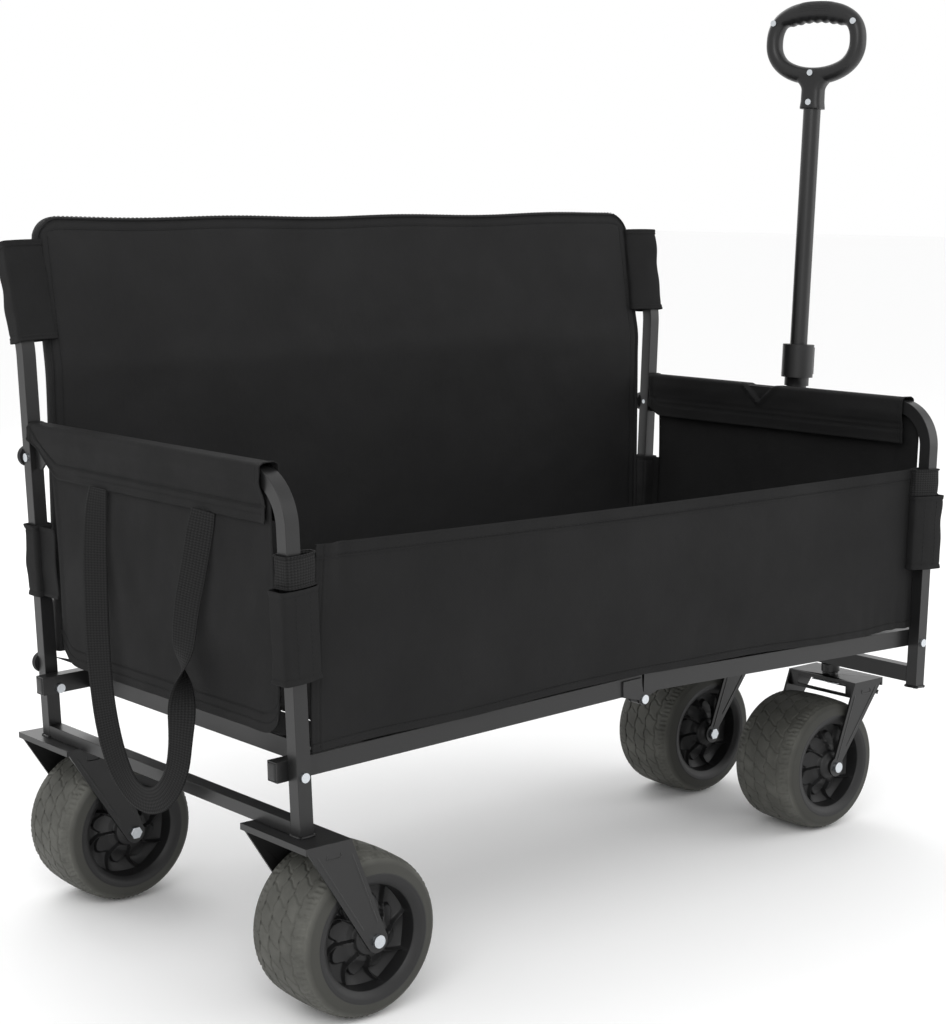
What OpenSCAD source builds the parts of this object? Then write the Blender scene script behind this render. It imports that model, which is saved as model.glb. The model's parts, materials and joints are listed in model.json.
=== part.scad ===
// Folding camp wagon with a tall backrest, in millimetres.
// +X is the way it is pulled, +Y is the backrest side, +Z is up and the ground is z = 0.
// "rear" is the end with the two fixed wheels, "front" is the end with the casters and the pull handle.

/* [Frame] */
// Distance between the rail bolts of the two end frames
frame_length = 1000; // [800:5:1250]
// Distance between the post centres, low side to backrest side
frame_width = 524; // [440:2:640]
// Side of the square steel tube
tube = 17; // [15:0.5:22]
// Wall of the steel tube
tube_wall = 1.5; // [1:0.1:2.5]
// Outward lean of both end frames, degrees
splay = 2.4; // [0:0.1:4]
// Height of the fold bolts over the tops of the wheels
pivot_over_wheels = 91; // [78:1:130]
// Height of the top rails' centre line over the fold bolts
rail_rise = 310; // [260:1:390]
// Centre-line radius of the top rail's bend
bend_radius = 52; // [35:1:80]
// Height over the fold bolts where the backrest posts start to lean back
lean_start_rise = 397; // [360:1:480]
// Height of the tips of the backrest posts over the fold bolts
post_rise = 532; // [510:1:680]
// Lean of the upper backrest posts, degrees
backrest_lean = 11; // [0:0.5:16]
// Height of the steel cross bar on the wheel brackets
rear_bar_height = 15; // [12:0.5:20]
// Height of the steel cross bar over the casters
front_bar_height = 21; // [16:0.5:26]

/* [Folding floor] */
// Height of the rail tube
rail_height = 22; // [18:0.5:28]
// Rise of each floor rail towards the middle, degrees
rail_slope = 1.56; // [0.8:0.02:2.2]
// Offset of the rail centre above the end bolt
rail_offset = 5; // [4:0.5:8]
// Length of rail that reaches past the end bolt
rail_stub = 22; // [15:1:30]
// Distance from the end bolt to the floor cross bar's centre
floor_bar_at = 48; // [40:1:90]
// Distance from the end bolt to the floor board
board_start = 92; // [88:1:140]
// Thickness of a floor board
board_thickness = 7; // [4:0.5:9]
// Radius of the fold bolts
fold_bolt_r = 3; // [2.5:0.25:4]

/* [Wheels] */
// Outer radius of every wheel
wheel_radius = 90; // [75:1:110]
// Width of every tyre
tyre_width = 106; // [60:1:110]
// Radius of the rim where the tyre sits
rim_radius = 64; // [50:1:80]
// Radius of the rim's open dish
dish_radius = 55; // [40:1:72]
// Radius of the axle bolts
axle_radius = 6; // [4:0.5:8]
// Distance of the rear axle inboard of the rear bolt line
rear_axle_inset = 68; // [50:1:80]
// Distance of a rear wheel's middle inboard of the post centre
rear_wheel_inset = 19; // [15:1:40]
// Distance of a caster from the wagon's centre plane
caster_y = 115; // [112:1:160]
// Trail of the caster axle behind its swivel
caster_trail = 52; // [48:1:70]
// Thickness of the stamped bracket and fork steel
stamp = 3; // [2:0.25:4]

/* [Fabric] */
// Thickness of the side and end panels
panel_thickness = 4; // [2:0.5:6]
// Thickness of the padded backrest
backrest_thickness = 20; // [8:1:24]
// Height of the low side panel's top hem over the fold bolts
low_panel_rise = 235; // [180:1:280]
// Height of the backrest's top edge over the fold bolts
backrest_rise = 559; // [520:1:700]
// Thickness of a sewn sleeve's cloth
cloth = 2.5; // [1.5:0.25:4]
// Width of the carry strap
strap_width = 30; // [20:1:40]
// Thickness of the carry strap
strap_thickness = 3; // [2:0.5:4]

/* [Handle] */
// Radius of the outer handle tube
outer_tube_r = 14; // [12.5:0.25:17]
// Radius of the sliding inner tube
inner_tube_r = 12; // [10:0.25:12]
// Drop of the handle's pivot bolt under the fold bolts
handle_pivot_drop = 66; // [61:1:71]
// Distance of the handle's pivot outboard of the front bolt line
handle_pivot_out = 27; // [24:1:34]
// Outward lean of the upright handle, degrees
handle_lean = 2.9; // [2.4:0.1:6]
// Length of the outer tube above the pivot
outer_tube_len = 404; // [380:1:430]
// Travel of the telescopic handle
handle_travel = 316; // [200:2:326]
// Width of the D grip
grip_width = 148; // [120:1:170]
// Height of the D grip's ring
grip_height = 113; // [100:1:130]
// In-plane thickness of the D grip's ring
grip_band = 29; // [22:1:34]
// Depth of the D grip, front to back
grip_depth = 27; // [24:1:36]
// Turn of the grip about its tube, degrees
grip_turn = 15; // [0:1:30]

/* [Hidden] */
$fn = 48;
running = 0.05;      // radial clearance of a running pin
slide_gap = 0.4;     // clearance round a tube that slides or a sleeve that slips on
side_gap = 0.5;      // clearance between flat faces that move past each other
half_w = frame_width / 2;
tube_half = tube / 2;
steel = "#2b2c2d";
cloth_black = "#242425";
strap_black = "#1d1d1e";
tyre_grey = "#4c4d49";
rim_black = "#1c1c1d";
plastic_black = "#232324";
rubber_black = "#2a2a2a";
zinc = "#b9bdc1";

// Heights over the ground, all carried by the wheels
pivot_z = 2 * wheel_radius + pivot_over_wheels;
rail_top_z = pivot_z + rail_rise;
lean_start_z = pivot_z + lean_start_rise;
post_top_z = pivot_z + post_rise;
low_panel_top_z = pivot_z + low_panel_rise;
backrest_top_z = pivot_z + backrest_rise;
handle_pivot_z = pivot_z - handle_pivot_drop;
upper_bolt_z = pivot_z + 279;
lower_bumper_z = pivot_z + 26;
gusset_low_z = pivot_z + 265;
high_tab_z = [pivot_z + 113, pivot_z + 197];
low_tab_z = [pivot_z + 101, pivot_z + 195];
band_tab_z = [pivot_z + 203, pivot_z + 231];

// Wheels and brackets
wheel_z = wheel_radius;
rim_seat = tyre_width - 12;
arm_gap = 3.4;
arm_in = tyre_width / 2 + arm_gap;
arm_out = arm_in + stamp;
plate_top = 2 * wheel_radius + 27;
lip_drop = 7;
bracket_back = 22;
bracket_front = 36;
arm_end_r = 13;
rear_wheel_y = half_w - rear_wheel_inset;
fork_top = 2 * wheel_radius + 21;
fork_back = 18;
fork_front = 40;
skirt = 22;
boss_r = 12.5;
socket_gap = 5;
king_r = 6;
front_bar_z = fork_top + 16;
bolt_head = 4;

// Rails and fold line
rail_y = half_w - tube - side_gap;
arm_len = (frame_length / 2) / cos(rail_slope);
mid_drop = (frame_length / 2) * sin(rail_slope);
mid_along = (frame_length / 2) * cos(rail_slope);
rail_low = rail_offset - rail_height / 2;
rail_high = rail_offset + rail_height / 2;
ear_r = 7.3;
ear_plate = 2.5;
lug_half = 6;
floor_cloth = 1;
board_half_y = rail_y + 4;

// Placing along X, so that the ground point under the middle of the whole wagon is the origin
sleeve_out = tube_half + slide_gap + cloth;
rear_reach = frame_length / 2 + (post_top_z - pivot_z) * tan(splay) + sleeve_out;
grip_mid_z = outer_tube_len + 46 + handle_travel + 12 + 35 + grip_height / 2;
front_reach = frame_length / 2 + handle_pivot_out + grip_mid_z * sin(handle_lean)
    + (grip_width / 2 - grip_height / 2) * sin(grip_turn) + 30;
x_centre = (front_reach - rear_reach) / 2;

function end_x(dir) = dir * frame_length / 2 - x_centre;

// An end frame: x runs outwards, z runs up the leaning posts from the fold bolt.
module at_end(dir)
    translate([end_x(dir), 0, pivot_z])
        mirror([dir < 0 ? 1 : 0, 0, 0])
            rotate([0, splay, 0])
                children();

// A floor arm: x runs from the end bolt towards the middle, along the rail.
module on_arm(dir)
    translate([end_x(dir), 0, pivot_z])
        mirror([dir > 0 ? 1 : 0, 0, 0])
            rotate([0, -rail_slope, 0])
                children();

// The same point on both sides of the wagon
module both_sides()
    for (side = [0, 1])
        mirror([0, side, 0])
            children();

module bar(x0, x1, y0, y1, z0, z1)
    translate([x0, y0, z0])
        cube([x1 - x0, y1 - y0, z1 - z0]);

module rod_y(r, y0, y1)
    translate([0, y0, 0])
        rotate([-90, 0, 0])
            cylinder(r = r, h = y1 - y0);

module rod_x(r, x0, x1)
    translate([x0, 0, 0])
        rotate([0, 90, 0])
            cylinder(r = r, h = x1 - x0);

// Square tube along Y between two stations
module tube_y(y0, y1, h = tube)
    difference() {
        bar(-tube_half, tube_half, y0, y1, -h / 2, h / 2);
        bar(-tube_half + tube_wall, tube_half - tube_wall, y0 - 1, y1 + 1, -h / 2 + tube_wall, h / 2 - tube_wall);
    }

// Height along the leaning post of a height over the ground
function up(z) = (z - pivot_z) / cos(splay);

// ---------- end frames ----------

post_base_rear = up(plate_top) + 0.4;
post_base_front = up(front_bar_z - 6);
rail_up = up(rail_top_z);

// Extrude a YZ outline along X, both ways from x = 0
module in_yz(width)
    translate([-width / 2, 0, 0])
        rotate([90, 0, 90])
            linear_extrude(width)
                children();

// Everything under a rounded corner, at a distance outside the hoop's centre line
hoop_end_y = half_w - tube_half;
module under_corner(out, base, extra)
    union() {
        translate([-half_w + bend_radius, rail_up - bend_radius])
            circle(r = bend_radius + out);
        translate([-half_w + bend_radius, base - extra])
            square([hoop_end_y + half_w - bend_radius + extra, rail_up + out - base + extra]);
        translate([-half_w - out, base - extra])
            square([hoop_end_y + half_w + out + extra, rail_up - bend_radius - base + extra]);
    }

// Band of the hoop in its own plane, reaching past both open ends by extra
module hoop_band(half, base, extra)
    difference() {
        under_corner(half, base, extra);
        under_corner(-half, base, extra + 1);
    }

// Low-side post and top rail, one bent tube
module hoop(dir, base)
    color(steel)
        at_end(dir)
            difference() {
                in_yz(tube)
                    hoop_band(tube_half, base, 0);
                in_yz(tube - 2 * tube_wall)
                    hoop_band(tube_half - tube_wall, base, 1);
                translate([0, -half_w, 0])
                    rod_y(fold_bolt_r + running, -tube, tube);
            }

module rear_hoop() hoop(-1, post_base_rear);
module front_hoop() hoop(1, post_base_front);

// Tall post with its upper length leaning back: its edges, at a distance from the centre line
lean_r = 90;
lean_steps = 6;
lean_len = (post_top_z - lean_start_z - lean_r * sin(backrest_lean)) / cos(backrest_lean);
function post_edge(out, base, extra) = concat(
    [[out, base - extra]],
    [for (i = [0 : lean_steps])
        let (a = backrest_lean * i / lean_steps)
        [lean_r - (lean_r - out) * cos(a), up(lean_start_z) + (lean_r - out) * sin(a)]],
    [[lean_r - (lean_r - out) * cos(backrest_lean) + (lean_len + extra) * sin(backrest_lean),
        up(lean_start_z) + (lean_r - out) * sin(backrest_lean) + (lean_len + extra) * cos(backrest_lean)]]);
function backwards(list) = [for (i = [len(list) - 1 : -1 : 0]) list[i]];

module post_band(half, base, extra)
    polygon(concat(post_edge(half, base, extra), backwards(post_edge(-half, base, extra))));

module backrest_post(dir, base)
    color(steel)
        at_end(dir)
            translate([0, half_w, 0])
                difference() {
                    in_yz(tube)
                        post_band(tube_half, base, 0);
                    in_yz(tube - 2 * tube_wall)
                        post_band(tube_half - tube_wall, base, 1);
                    rod_y(fold_bolt_r + running, -tube, tube);
                    translate([0, 0, up(upper_bolt_z)])
                        rod_x(fold_bolt_r + running, -tube, tube);
                }

module rear_backrest_post() backrest_post(-1, post_base_rear);
module front_backrest_post() backrest_post(1, post_base_front);

// Cross bars at the foot of the posts
module rear_cross_bar()
    color(steel)
        at_end(-1)
            translate([0, 0, post_base_rear + rear_bar_height / 2])
                tube_y(-half_w + tube_half, half_w - tube_half, rear_bar_height);

module front_cross_bar()
    color(steel)
        difference() {
            at_end(1)
                translate([0, 0, up(front_bar_z) + front_bar_height / 2])
                    tube_y(-half_w + tube_half, half_w - tube_half, front_bar_height);
            for (s = [-1, 1])
                translate([end_x(1), s * caster_y, front_bar_z - 5])
                    cylinder(r = king_r + running, h = front_bar_height + 12);
        }

// Gusset that ties the top rail to the backrest post
gusset_low = up(gusset_low_z);
module rail_bracket(dir)
    color(steel)
        at_end(dir)
            translate([-1.5, 0, 0])
                rotate([90, 0, 90])
                    linear_extrude(3)
                        polygon([[half_w - tube_half, rail_up - tube_half], [half_w - tube_half, gusset_low],
                            [half_w - tube_half - 12, gusset_low], [half_w - tube_half - 46, rail_up - tube_half - 8],
                            [half_w - tube_half - 46, rail_up - tube_half]]);

module rear_rail_bracket() rail_bracket(-1);
module front_rail_bracket() rail_bracket(1);

// Bolts of one end frame: two through post and rail, one through the bracket
module frame_bolts(dir)
    color(zinc)
        at_end(dir) {
            both_sides()
                translate([0, half_w, 0]) {
                    rod_y(fold_bolt_r, -tube * 1.5 - side_gap - 2, tube_half + 0.2);
                    rod_y(fold_bolt_r + 2.2, tube_half, tube_half + 2.6);
                    rod_y(fold_bolt_r + 2.6, -tube * 1.5 - side_gap - 3.6, -tube * 1.5 - side_gap - 0.3);
                }
            translate([0, half_w, up(upper_bolt_z)]) {
                rod_x(fold_bolt_r, -tube_half, tube_half);
                rod_x(fold_bolt_r + 2.2, tube_half, tube_half + 2.4);
            }
        }

module rear_frame_bolts() frame_bolts(-1);
module front_frame_bolts() {
    frame_bolts(1);
    handle_pivot_bolt();
}

// Rubber bumpers on the outer faces of the backrest posts
bumper_r = 13;
bumper_len = 13;
module bumper()
    rotate([-90, 0, 0])
        rotate_extrude()
            difference() {
                union() {
                    square([bumper_r, bumper_len - 8]);
                    translate([0, bumper_len - 8])
                        square([bumper_r - 8, 8]);
                    translate([bumper_r - 8, bumper_len - 8])
                        circle(r = 8);
                }
                translate([-20, -20])
                    square([20, 60]);
                translate([-1, -20])
                    square([40, 20]);
            }

module bumpers(dir)
    color(rubber_black)
        at_end(dir)
            for (z = [up(lower_bumper_z), up(upper_bolt_z)])
                translate([0, half_w + tube_half, z])
                    bumper();

module rear_bumpers() bumpers(-1);
module front_bumpers() bumpers(1);

// ---------- fixed rear wheels ----------

// A stamped leg in the XZ plane, from a plate down to the axle, as a 2D shape
module leg_outline(x0, x1, z_top, axle_x)
    difference() {
        union() {
            polygon([[x0, z_top], [x1, z_top], [axle_x + arm_end_r * 0.87, wheel_z + arm_end_r * 0.5],
                [axle_x, wheel_z], [axle_x - arm_end_r * 0.87, wheel_z - arm_end_r * 0.5]]);
            translate([axle_x, wheel_z])
                circle(r = arm_end_r);
        }
        translate([axle_x, wheel_z])
            circle(r = axle_radius + running);
    }

// Extrude an XZ outline along Y
module in_xz(y0, y1)
    translate([0, y1, 0])
        rotate([90, 0, 0])
            linear_extrude(y1 - y0)
                children();

// Bracket in its own frame: x runs from the post inwards, y = 0 at the wheel's middle
module wheel_bracket()
    union() {
        bar(-bracket_back, bracket_front, -arm_out, arm_out, plate_top - stamp, plate_top);
        bar(-bracket_back, -bracket_back + stamp, -arm_out, arm_out, plate_top - lip_drop, plate_top);
        for (y = [-arm_out, arm_in])
            in_xz(y, y + stamp)
                leg_outline(-bracket_back, bracket_front, plate_top - stamp / 2, rear_axle_inset);
    }

module rear_bracket(side)
    color(steel)
        translate([end_x(-1), side * rear_wheel_y, 0])
            wheel_bracket();

module rear_left_wheel_bracket() rear_bracket(1);
module rear_right_wheel_bracket() rear_bracket(-1);

// Axle bolt across a wheel: shaft, round head outside and nut inside
module axle_bolt(out_dir)
    mirror([0, out_dir < 0 ? 1 : 0, 0])
        union() {
            rod_y(axle_radius, -arm_out - bolt_head, arm_out + bolt_head);
            rod_y(axle_radius + 1, arm_out, arm_out + bolt_head);
            translate([0, -arm_out, 0])
                rotate([90, 0, 0])
                    cylinder(r = axle_radius + 2, h = bolt_head, $fn = 6);
        }

module rear_axle_bolts()
    color(zinc)
        for (side = [-1, 1])
            translate([end_x(-1) + rear_axle_inset, side * rear_wheel_y, wheel_z])
                axle_bolt(side);

// Tyre: crowned tread, round shoulders, tapering sidewall
module tyre_ring()
    rotate([90, 0, 0])
        rotate_extrude()
            difference() {
                union() {
                    translate([rim_radius, -tyre_width / 2 + 3])
                        square([10, tyre_width - 6]);
                    translate([rim_radius + 6, -tyre_width / 2])
                        square([wheel_radius - rim_radius - 20, tyre_width]);
                    translate([wheel_radius - 14, -tyre_width / 2 + 14])
                        circle(r = 14);
                    translate([wheel_radius - 14, tyre_width / 2 - 14])
                        circle(r = 14);
                    translate([wheel_radius - 16, -tyre_width / 2 + 14])
                        square([16, tyre_width - 28]);
                    translate([rim_radius + 6, -tyre_width / 2 + 10])
                        square([wheel_radius - rim_radius - 16, tyre_width - 20]);
                }
                translate([rim_radius - 20, -tyre_width])
                    square([20, 2 * tyre_width]);
            }

// Rim: barrel, web and a long hub with its bore
hub_r = 16;
web_half = 5;
module rim_body()
    difference() {
        union() {
            rotate([90, 0, 0])
                rotate_extrude() {
                    translate([dish_radius, -rim_seat / 2])
                        square([rim_radius - dish_radius, rim_seat]);
                    translate([hub_r - 4, -web_half])
                        square([dish_radius - hub_r + 6, 2 * web_half]);
                }
            rod_y(hub_r, -tyre_width / 2 - 1, tyre_width / 2 + 1);
        }
        rod_y(axle_radius + running, -tyre_width, tyre_width);
    }

module at_rear_wheel(side)
    translate([end_x(-1) + rear_axle_inset, side * rear_wheel_y, wheel_z])
        children();

module rear_left_tyre() color(tyre_grey) at_rear_wheel(1) tyre_ring();
module rear_right_tyre() color(tyre_grey) at_rear_wheel(-1) tyre_ring();
module rear_left_rim() color(rim_black) at_rear_wheel(1) rim_body();
module rear_right_rim() color(rim_black) at_rear_wheel(-1) rim_body();

// ---------- casters ----------

// Caster frame: x = 0, y = 0 on the swivel, ground z = 0, trail towards -X
module at_caster(side)
    translate([end_x(1), side * caster_y, 0])
        children();

module caster_fork()
    difference() {
        union() {
            bar(-fork_back, fork_front, -arm_out, arm_out, fork_top - stamp, fork_top);
            bar(fork_front - stamp, fork_front, -arm_out, arm_out, fork_top - skirt * 0.5, fork_top);
            bar(-fork_back, -fork_back + stamp, -arm_out, arm_out, fork_top - skirt, fork_top);
            for (y = [-arm_out, arm_in])
                in_xz(y, y + stamp)
                    leg_outline(-fork_back, fork_front, fork_top - stamp / 2, -caster_trail);
            cylinder(r = boss_r - 1.5, h = fork_top + 4);
            cylinder(r = king_r, h = front_bar_z + front_bar_height + 9);
            translate([0, 0, front_bar_z + front_bar_height + 2])
                cylinder(r = 9.5, h = 6, $fn = 6);
        }
        bar(-fork_back + stamp, fork_front - stamp, -arm_in, arm_in, -1, fork_top - stamp);
        bar(-fork_back - 1, -fork_back + stamp + 1, -arm_in + 14, arm_in - 14, fork_top - skirt + 4,
            fork_top - stamp - 2);
    }

module fork(side) color(steel) at_caster(side) caster_fork();
module front_left_caster_fork() fork(1);
module front_right_caster_fork() fork(-1);

// Swivel tubes welded under the front cross bar
module caster_sockets()
    color(steel)
        for (side = [-1, 1])
            at_caster(side)
                difference() {
                    translate([0, 0, fork_top + socket_gap])
                        cylinder(r = boss_r, h = front_bar_z - fork_top - socket_gap - tube_half * sin(splay) - 0.15);
                    translate([0, 0, fork_top])
                        cylinder(r = king_r + running, h = 40);
                }

module at_front_wheel(side)
    at_caster(side)
        translate([-caster_trail, 0, wheel_z])
            children();
module front_left_tyre() color(tyre_grey) at_front_wheel(1) tyre_ring();
module front_right_tyre() color(tyre_grey) at_front_wheel(-1) tyre_ring();
module front_left_rim() color(rim_black) at_front_wheel(1) rim_body();
module front_right_rim() color(rim_black) at_front_wheel(-1) rim_body();

// Brake: a foot lever on a pin between the fork's arms, and a sprung zinc plate over the tyre
brake_pin_x = 18;
brake_pin_z = fork_top - 11;
lever_half = 46;
lever_drop = 22;
module brake_lever(side)
    color(steel)
        at_caster(side)
            translate([brake_pin_x, 0, brake_pin_z])
                difference() {
                    union() {
                        rod_y(5, -lever_half, lever_half);
                        rotate([0, lever_drop, 0]) {
                            bar(0, 33, -lever_half, lever_half, -4.5, -2.5);
                            bar(31, 33, -lever_half, lever_half, -4.5, 1.5);
                        }
                    }
                    rod_y(2 + running, -arm_out, arm_out);
                }
module front_left_brake_lever() brake_lever(1);
module front_right_brake_lever() brake_lever(-1);

// Zinc hardware of one fork: the axle bolt, the brake lever's pin and the sprung plate over the tyre
module fork_hardware(side)
    color(zinc)
        at_caster(side) {
            translate([-caster_trail, 0, wheel_z])
                axle_bolt(side);
            translate([brake_pin_x, 0, brake_pin_z])
                rod_y(2, -arm_in, arm_in);
            bar(-fork_back + stamp + 2, brake_pin_x - 8, -22, 22, fork_top - stamp - 6, fork_top - stamp - 4.5);
        }
module front_left_fork_hardware() fork_hardware(1);
module front_right_fork_hardware() fork_hardware(-1);

// ---------- folding floor ----------

module rail_tube()
    difference() {
        bar(-rail_stub, arm_len - 1.2, -tube_half, tube_half, rail_low, rail_high);
        bar(-rail_stub - 1, arm_len, -tube_half + tube_wall, tube_half - tube_wall,
            rail_low + tube_wall, rail_high - tube_wall);
    }

// Hinge cheeks on both sides of the rear rail's end, hanging down to the middle pivot
module cheeks()
    for (s = [-1, 1])
        in_xz(s > 0 ? tube_half : -tube_half - ear_plate, s > 0 ? tube_half + ear_plate : -tube_half) {
            polygon([[mid_along - ear_r, -mid_drop], [mid_along + ear_r - 1, -mid_drop + 2],
                [mid_along - 2, rail_low + 2], [mid_along - 4, rail_high - 3], [mid_along - 34, rail_high - 3],
                [mid_along - 34, rail_low]]);
            translate([mid_along, -mid_drop])
                circle(r = ear_r);
        }

// Hinge lug under the front rail's end
module lug()
    in_xz(-lug_half, lug_half) {
        polygon([[mid_along, -mid_drop + ear_r - 0.5], [mid_along - 2, rail_low - 0.2], [mid_along - 2, rail_low + 0.2],
            [mid_along - 30, rail_low + 0.2], [mid_along - ear_r, -mid_drop]]);
        translate([mid_along, -mid_drop])
            circle(r = ear_r - 0.3);
    }

// One floor rail with its bores; kind 1 carries the cheeks, kind 0 the lug
module floor_rail(dir, side, kind)
    color(steel)
        on_arm(dir)
            translate([0, side * rail_y, 0])
                difference() {
                    union() {
                        rail_tube();
                        if (kind == 1) cheeks();
                        if (kind == 0) lug();
                    }
                    rod_y(fold_bolt_r + running, -tube, tube);
                    translate([mid_along, 0, -mid_drop])
                        rod_y(fold_bolt_r + running, -tube, tube);
                }
module rear_left_floor_rail() floor_rail(-1, 1, 1);
module rear_right_floor_rail() floor_rail(-1, -1, 1);
module front_left_floor_rail() floor_rail(1, 1, 0);
module front_right_floor_rail() floor_rail(1, -1, 0);

// Bar between the two rails of an arm
module floor_bar(dir)
    color(steel)
        on_arm(dir)
            translate([floor_bar_at, 0, rail_offset])
                tube_y(-rail_y + tube_half, rail_y - tube_half, rail_height);
module rear_floor_bar() floor_bar(-1);
module front_floor_bar() floor_bar(1);

// Rivets of the middle hinge
module mid_hinge_rivets()
    color(zinc)
        for (side = [-1, 1])
            translate([-x_centre, side * rail_y, pivot_z]) {
                rod_y(fold_bolt_r, -tube_half - ear_plate - 2, tube_half + ear_plate + 2);
                for (s = [0, 1])
                    mirror([0, s, 0])
                        rod_y(fold_bolt_r + 2.4, tube_half + ear_plate, tube_half + ear_plate + 2);
            }

// Padded floor board lying on the rails
module floor_board(dir)
    color(cloth_black)
        on_arm(dir)
            bar(board_start, arm_len - 3, -board_half_y, board_half_y,
                rail_high + floor_cloth, rail_high + floor_cloth + board_thickness);
module rear_floor_board() floor_board(-1);
module front_floor_board() floor_board(1);

// ---------- fabric ----------

panel_low_z = pivot_z + rail_high + floor_cloth + board_thickness + 2;
side_panel_x0 = -frame_length / 2 + tube_half + 17;
side_panel_x1 = frame_length / 2 - tube_half - 5;
low_panel_y = -half_w + tube_half;

// Low side panel between the front and rear corner tabs, its lower edge rising with the rails
module low_side_panel()
    color(cloth_black)
        translate([-x_centre, 0, 0])
            in_xz(low_panel_y - panel_thickness, low_panel_y)
                polygon([[side_panel_x0, panel_low_z - 8], [0, panel_low_z + mid_drop - 8],
                    [side_panel_x1, panel_low_z - 8], [side_panel_x1, low_panel_top_z - 2],
                    [side_panel_x0, low_panel_top_z]]);

// Tall padded backrest, bent back at its middle
backrest_y = half_w - tube_half + 1;
backrest_half = frame_length / 2 - tube_half - 6;
backrest_top_y = backrest_y + (backrest_top_z - lean_start_z) * tan(backrest_lean);
module backrest()
    color(cloth_black)
        translate([-backrest_half - x_centre, 0, 0])
            rotate([90, 0, 90])
                linear_extrude(2 * backrest_half)
                    polygon([[backrest_y, panel_low_z + mid_drop], [backrest_y + backrest_thickness, panel_low_z + mid_drop],
                        [backrest_y + backrest_thickness, lean_start_z - 20],
                        [backrest_top_y + backrest_thickness, backrest_top_z],
                        [backrest_top_y, backrest_top_z], [backrest_y, lean_start_z - 20]]);

// Loose rectangular sleeve round a square tube along Z
module sleeve_z(z0, z1)
    difference() {
        bar(-sleeve_out, sleeve_out, -sleeve_out, sleeve_out, z0, z1);
        bar(-tube_half - slide_gap, tube_half + slide_gap, -tube_half - slide_gap, tube_half + slide_gap,
            z0 - 1, z1 + 1);
    }

// Sleeves that hold the backrest on its posts
module backrest_sleeve(dir)
    color(cloth_black)
        at_end(dir)
            translate([0, half_w + lean_r, up(lean_start_z)])
                rotate([-backrest_lean, 0, 0])
                    translate([0, -lean_r, 0])
                        sleeve_z(3, lean_len);
module backrest_rear_sleeve() backrest_sleeve(-1);
module backrest_front_sleeve() backrest_sleeve(1);

// End panel that hangs inside the hoop, and the sleeve over the top rail
end_panel_y0 = -half_w + tube_half + 12;
end_panel_y1 = half_w - tube_half - 30;
end_panel_x = 4;
end_panel_low = up(panel_low_z) + 2;
end_panel_high = rail_up - tube_half - slide_gap;
end_panel_cut = bend_radius - 12;
module end_panel(dir)
    color(cloth_black)
        at_end(dir)
            translate([end_panel_x, 0, 0])
                in_yz(panel_thickness)
                    polygon([[end_panel_y0, end_panel_low], [end_panel_y1, end_panel_low],
                        [end_panel_y1, end_panel_high], [end_panel_y0 + end_panel_cut, end_panel_high],
                        [end_panel_y0, end_panel_high - end_panel_cut]]);
module rear_end_panel() end_panel(-1);
module front_end_panel() end_panel(1);

sleeve_y0 = -half_w + bend_radius;
sleeve_y1 = half_w - tube_half - 48;
sleeve_flap = 42;
notch_y0 = -30;
notch_y1 = 70;
module rail_sleeve(dir, notch)
    color(cloth_black)
        at_end(dir)
            translate([0, 0, rail_up])
                difference() {
                    bar(-sleeve_out, sleeve_out, sleeve_y0, sleeve_y1, -tube_half - sleeve_flap, sleeve_out);
                    bar(-tube_half - slide_gap, tube_half + slide_gap, sleeve_y0 - 1, sleeve_y1 + 1,
                        -tube_half - sleeve_flap - 1, tube_half + slide_gap);
                    if (notch)
                        bar(-tube, tube, notch_y0, notch_y1, -tube_half - 14, tube);
                }
module rear_rail_sleeve() rail_sleeve(-1, false);
module front_rail_sleeve() rail_sleeve(1, true);

// Tabs of cloth that hold the tub's corners to the posts
module corner_tabs(dir)
    color(cloth_black)
        at_end(dir) {
            translate([0, half_w, 0]) {
                sleeve_z(up(high_tab_z[0]), up(high_tab_z[1]));
                bar(end_panel_x - 1.5, end_panel_x + 1.5, -tube_half - 29, -sleeve_out,
                    up(high_tab_z[0]), up(high_tab_z[1]));
            }
            translate([0, -half_w, 0]) {
                sleeve_z(up(low_tab_z[0]), up(low_tab_z[1]));
                sleeve_z(up(band_tab_z[0]), up(band_tab_z[1]));
            }
        }
module rear_corner_tabs() corner_tabs(-1);
module front_corner_tabs() corner_tabs(1);

// ---------- carry strap ----------

// Route of the strap's middle line: [outward, y, height over the fold bolts, turn of the webbing]
strap_route = [
    [22, 93, 261, 10], [25, 94, 234, 25], [27, 95, 189, 35], [28, 94, 139, 35], [29, 91, 89, 35],
    [30, 84, 39, 30], [31, 70, -9, 30], [33, 46, -47, 25], [35, 12, -70, 10], [35, -24, -74, 0],
    [34, -56, -59, -10], [32, -78, -26, -20], [31, -86, 19, -35], [30, -88, 64, -100],
    [29, -90, 107, -190], [28, -98, 154, -210], [27, -112, 199, -215], [25, -122, 239, -215],
    [22, -125, 261, -200]];

function sub3(a, b) = [a[0] - b[0], a[1] - b[1], a[2] - b[2]];
function unit(v) = v / norm(v);
function strap_point(i) = [-strap_route[i][0], strap_route[i][1], pivot_z + strap_route[i][2]];
function strap_along(i) =
    unit(sub3(strap_point(min(i + 1, len(strap_route) - 1)), strap_point(max(i - 1, 0))));
function strap_across(i) =
    let (t = strap_along(i), out = [-1, 0, 0], side = unit(cross(t, out)), face = cross(side, t),
        a = strap_route[i][3])
    side * cos(a) + face * sin(a);
function strap_ring(i) =
    let (c = strap_point(i), w = strap_across(i), n = cross(strap_along(i), w),
        hw = strap_width / 2, ht = strap_thickness / 2)
    [for (p = [[-1, 0.4], [-0.8, 1], [0.8, 1], [1, 0.4], [1, -0.4], [0.8, -1], [-0.8, -1], [-1, -0.4]])
        c + w * (p[0] * hw) + n * (p[1] * ht)];

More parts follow.
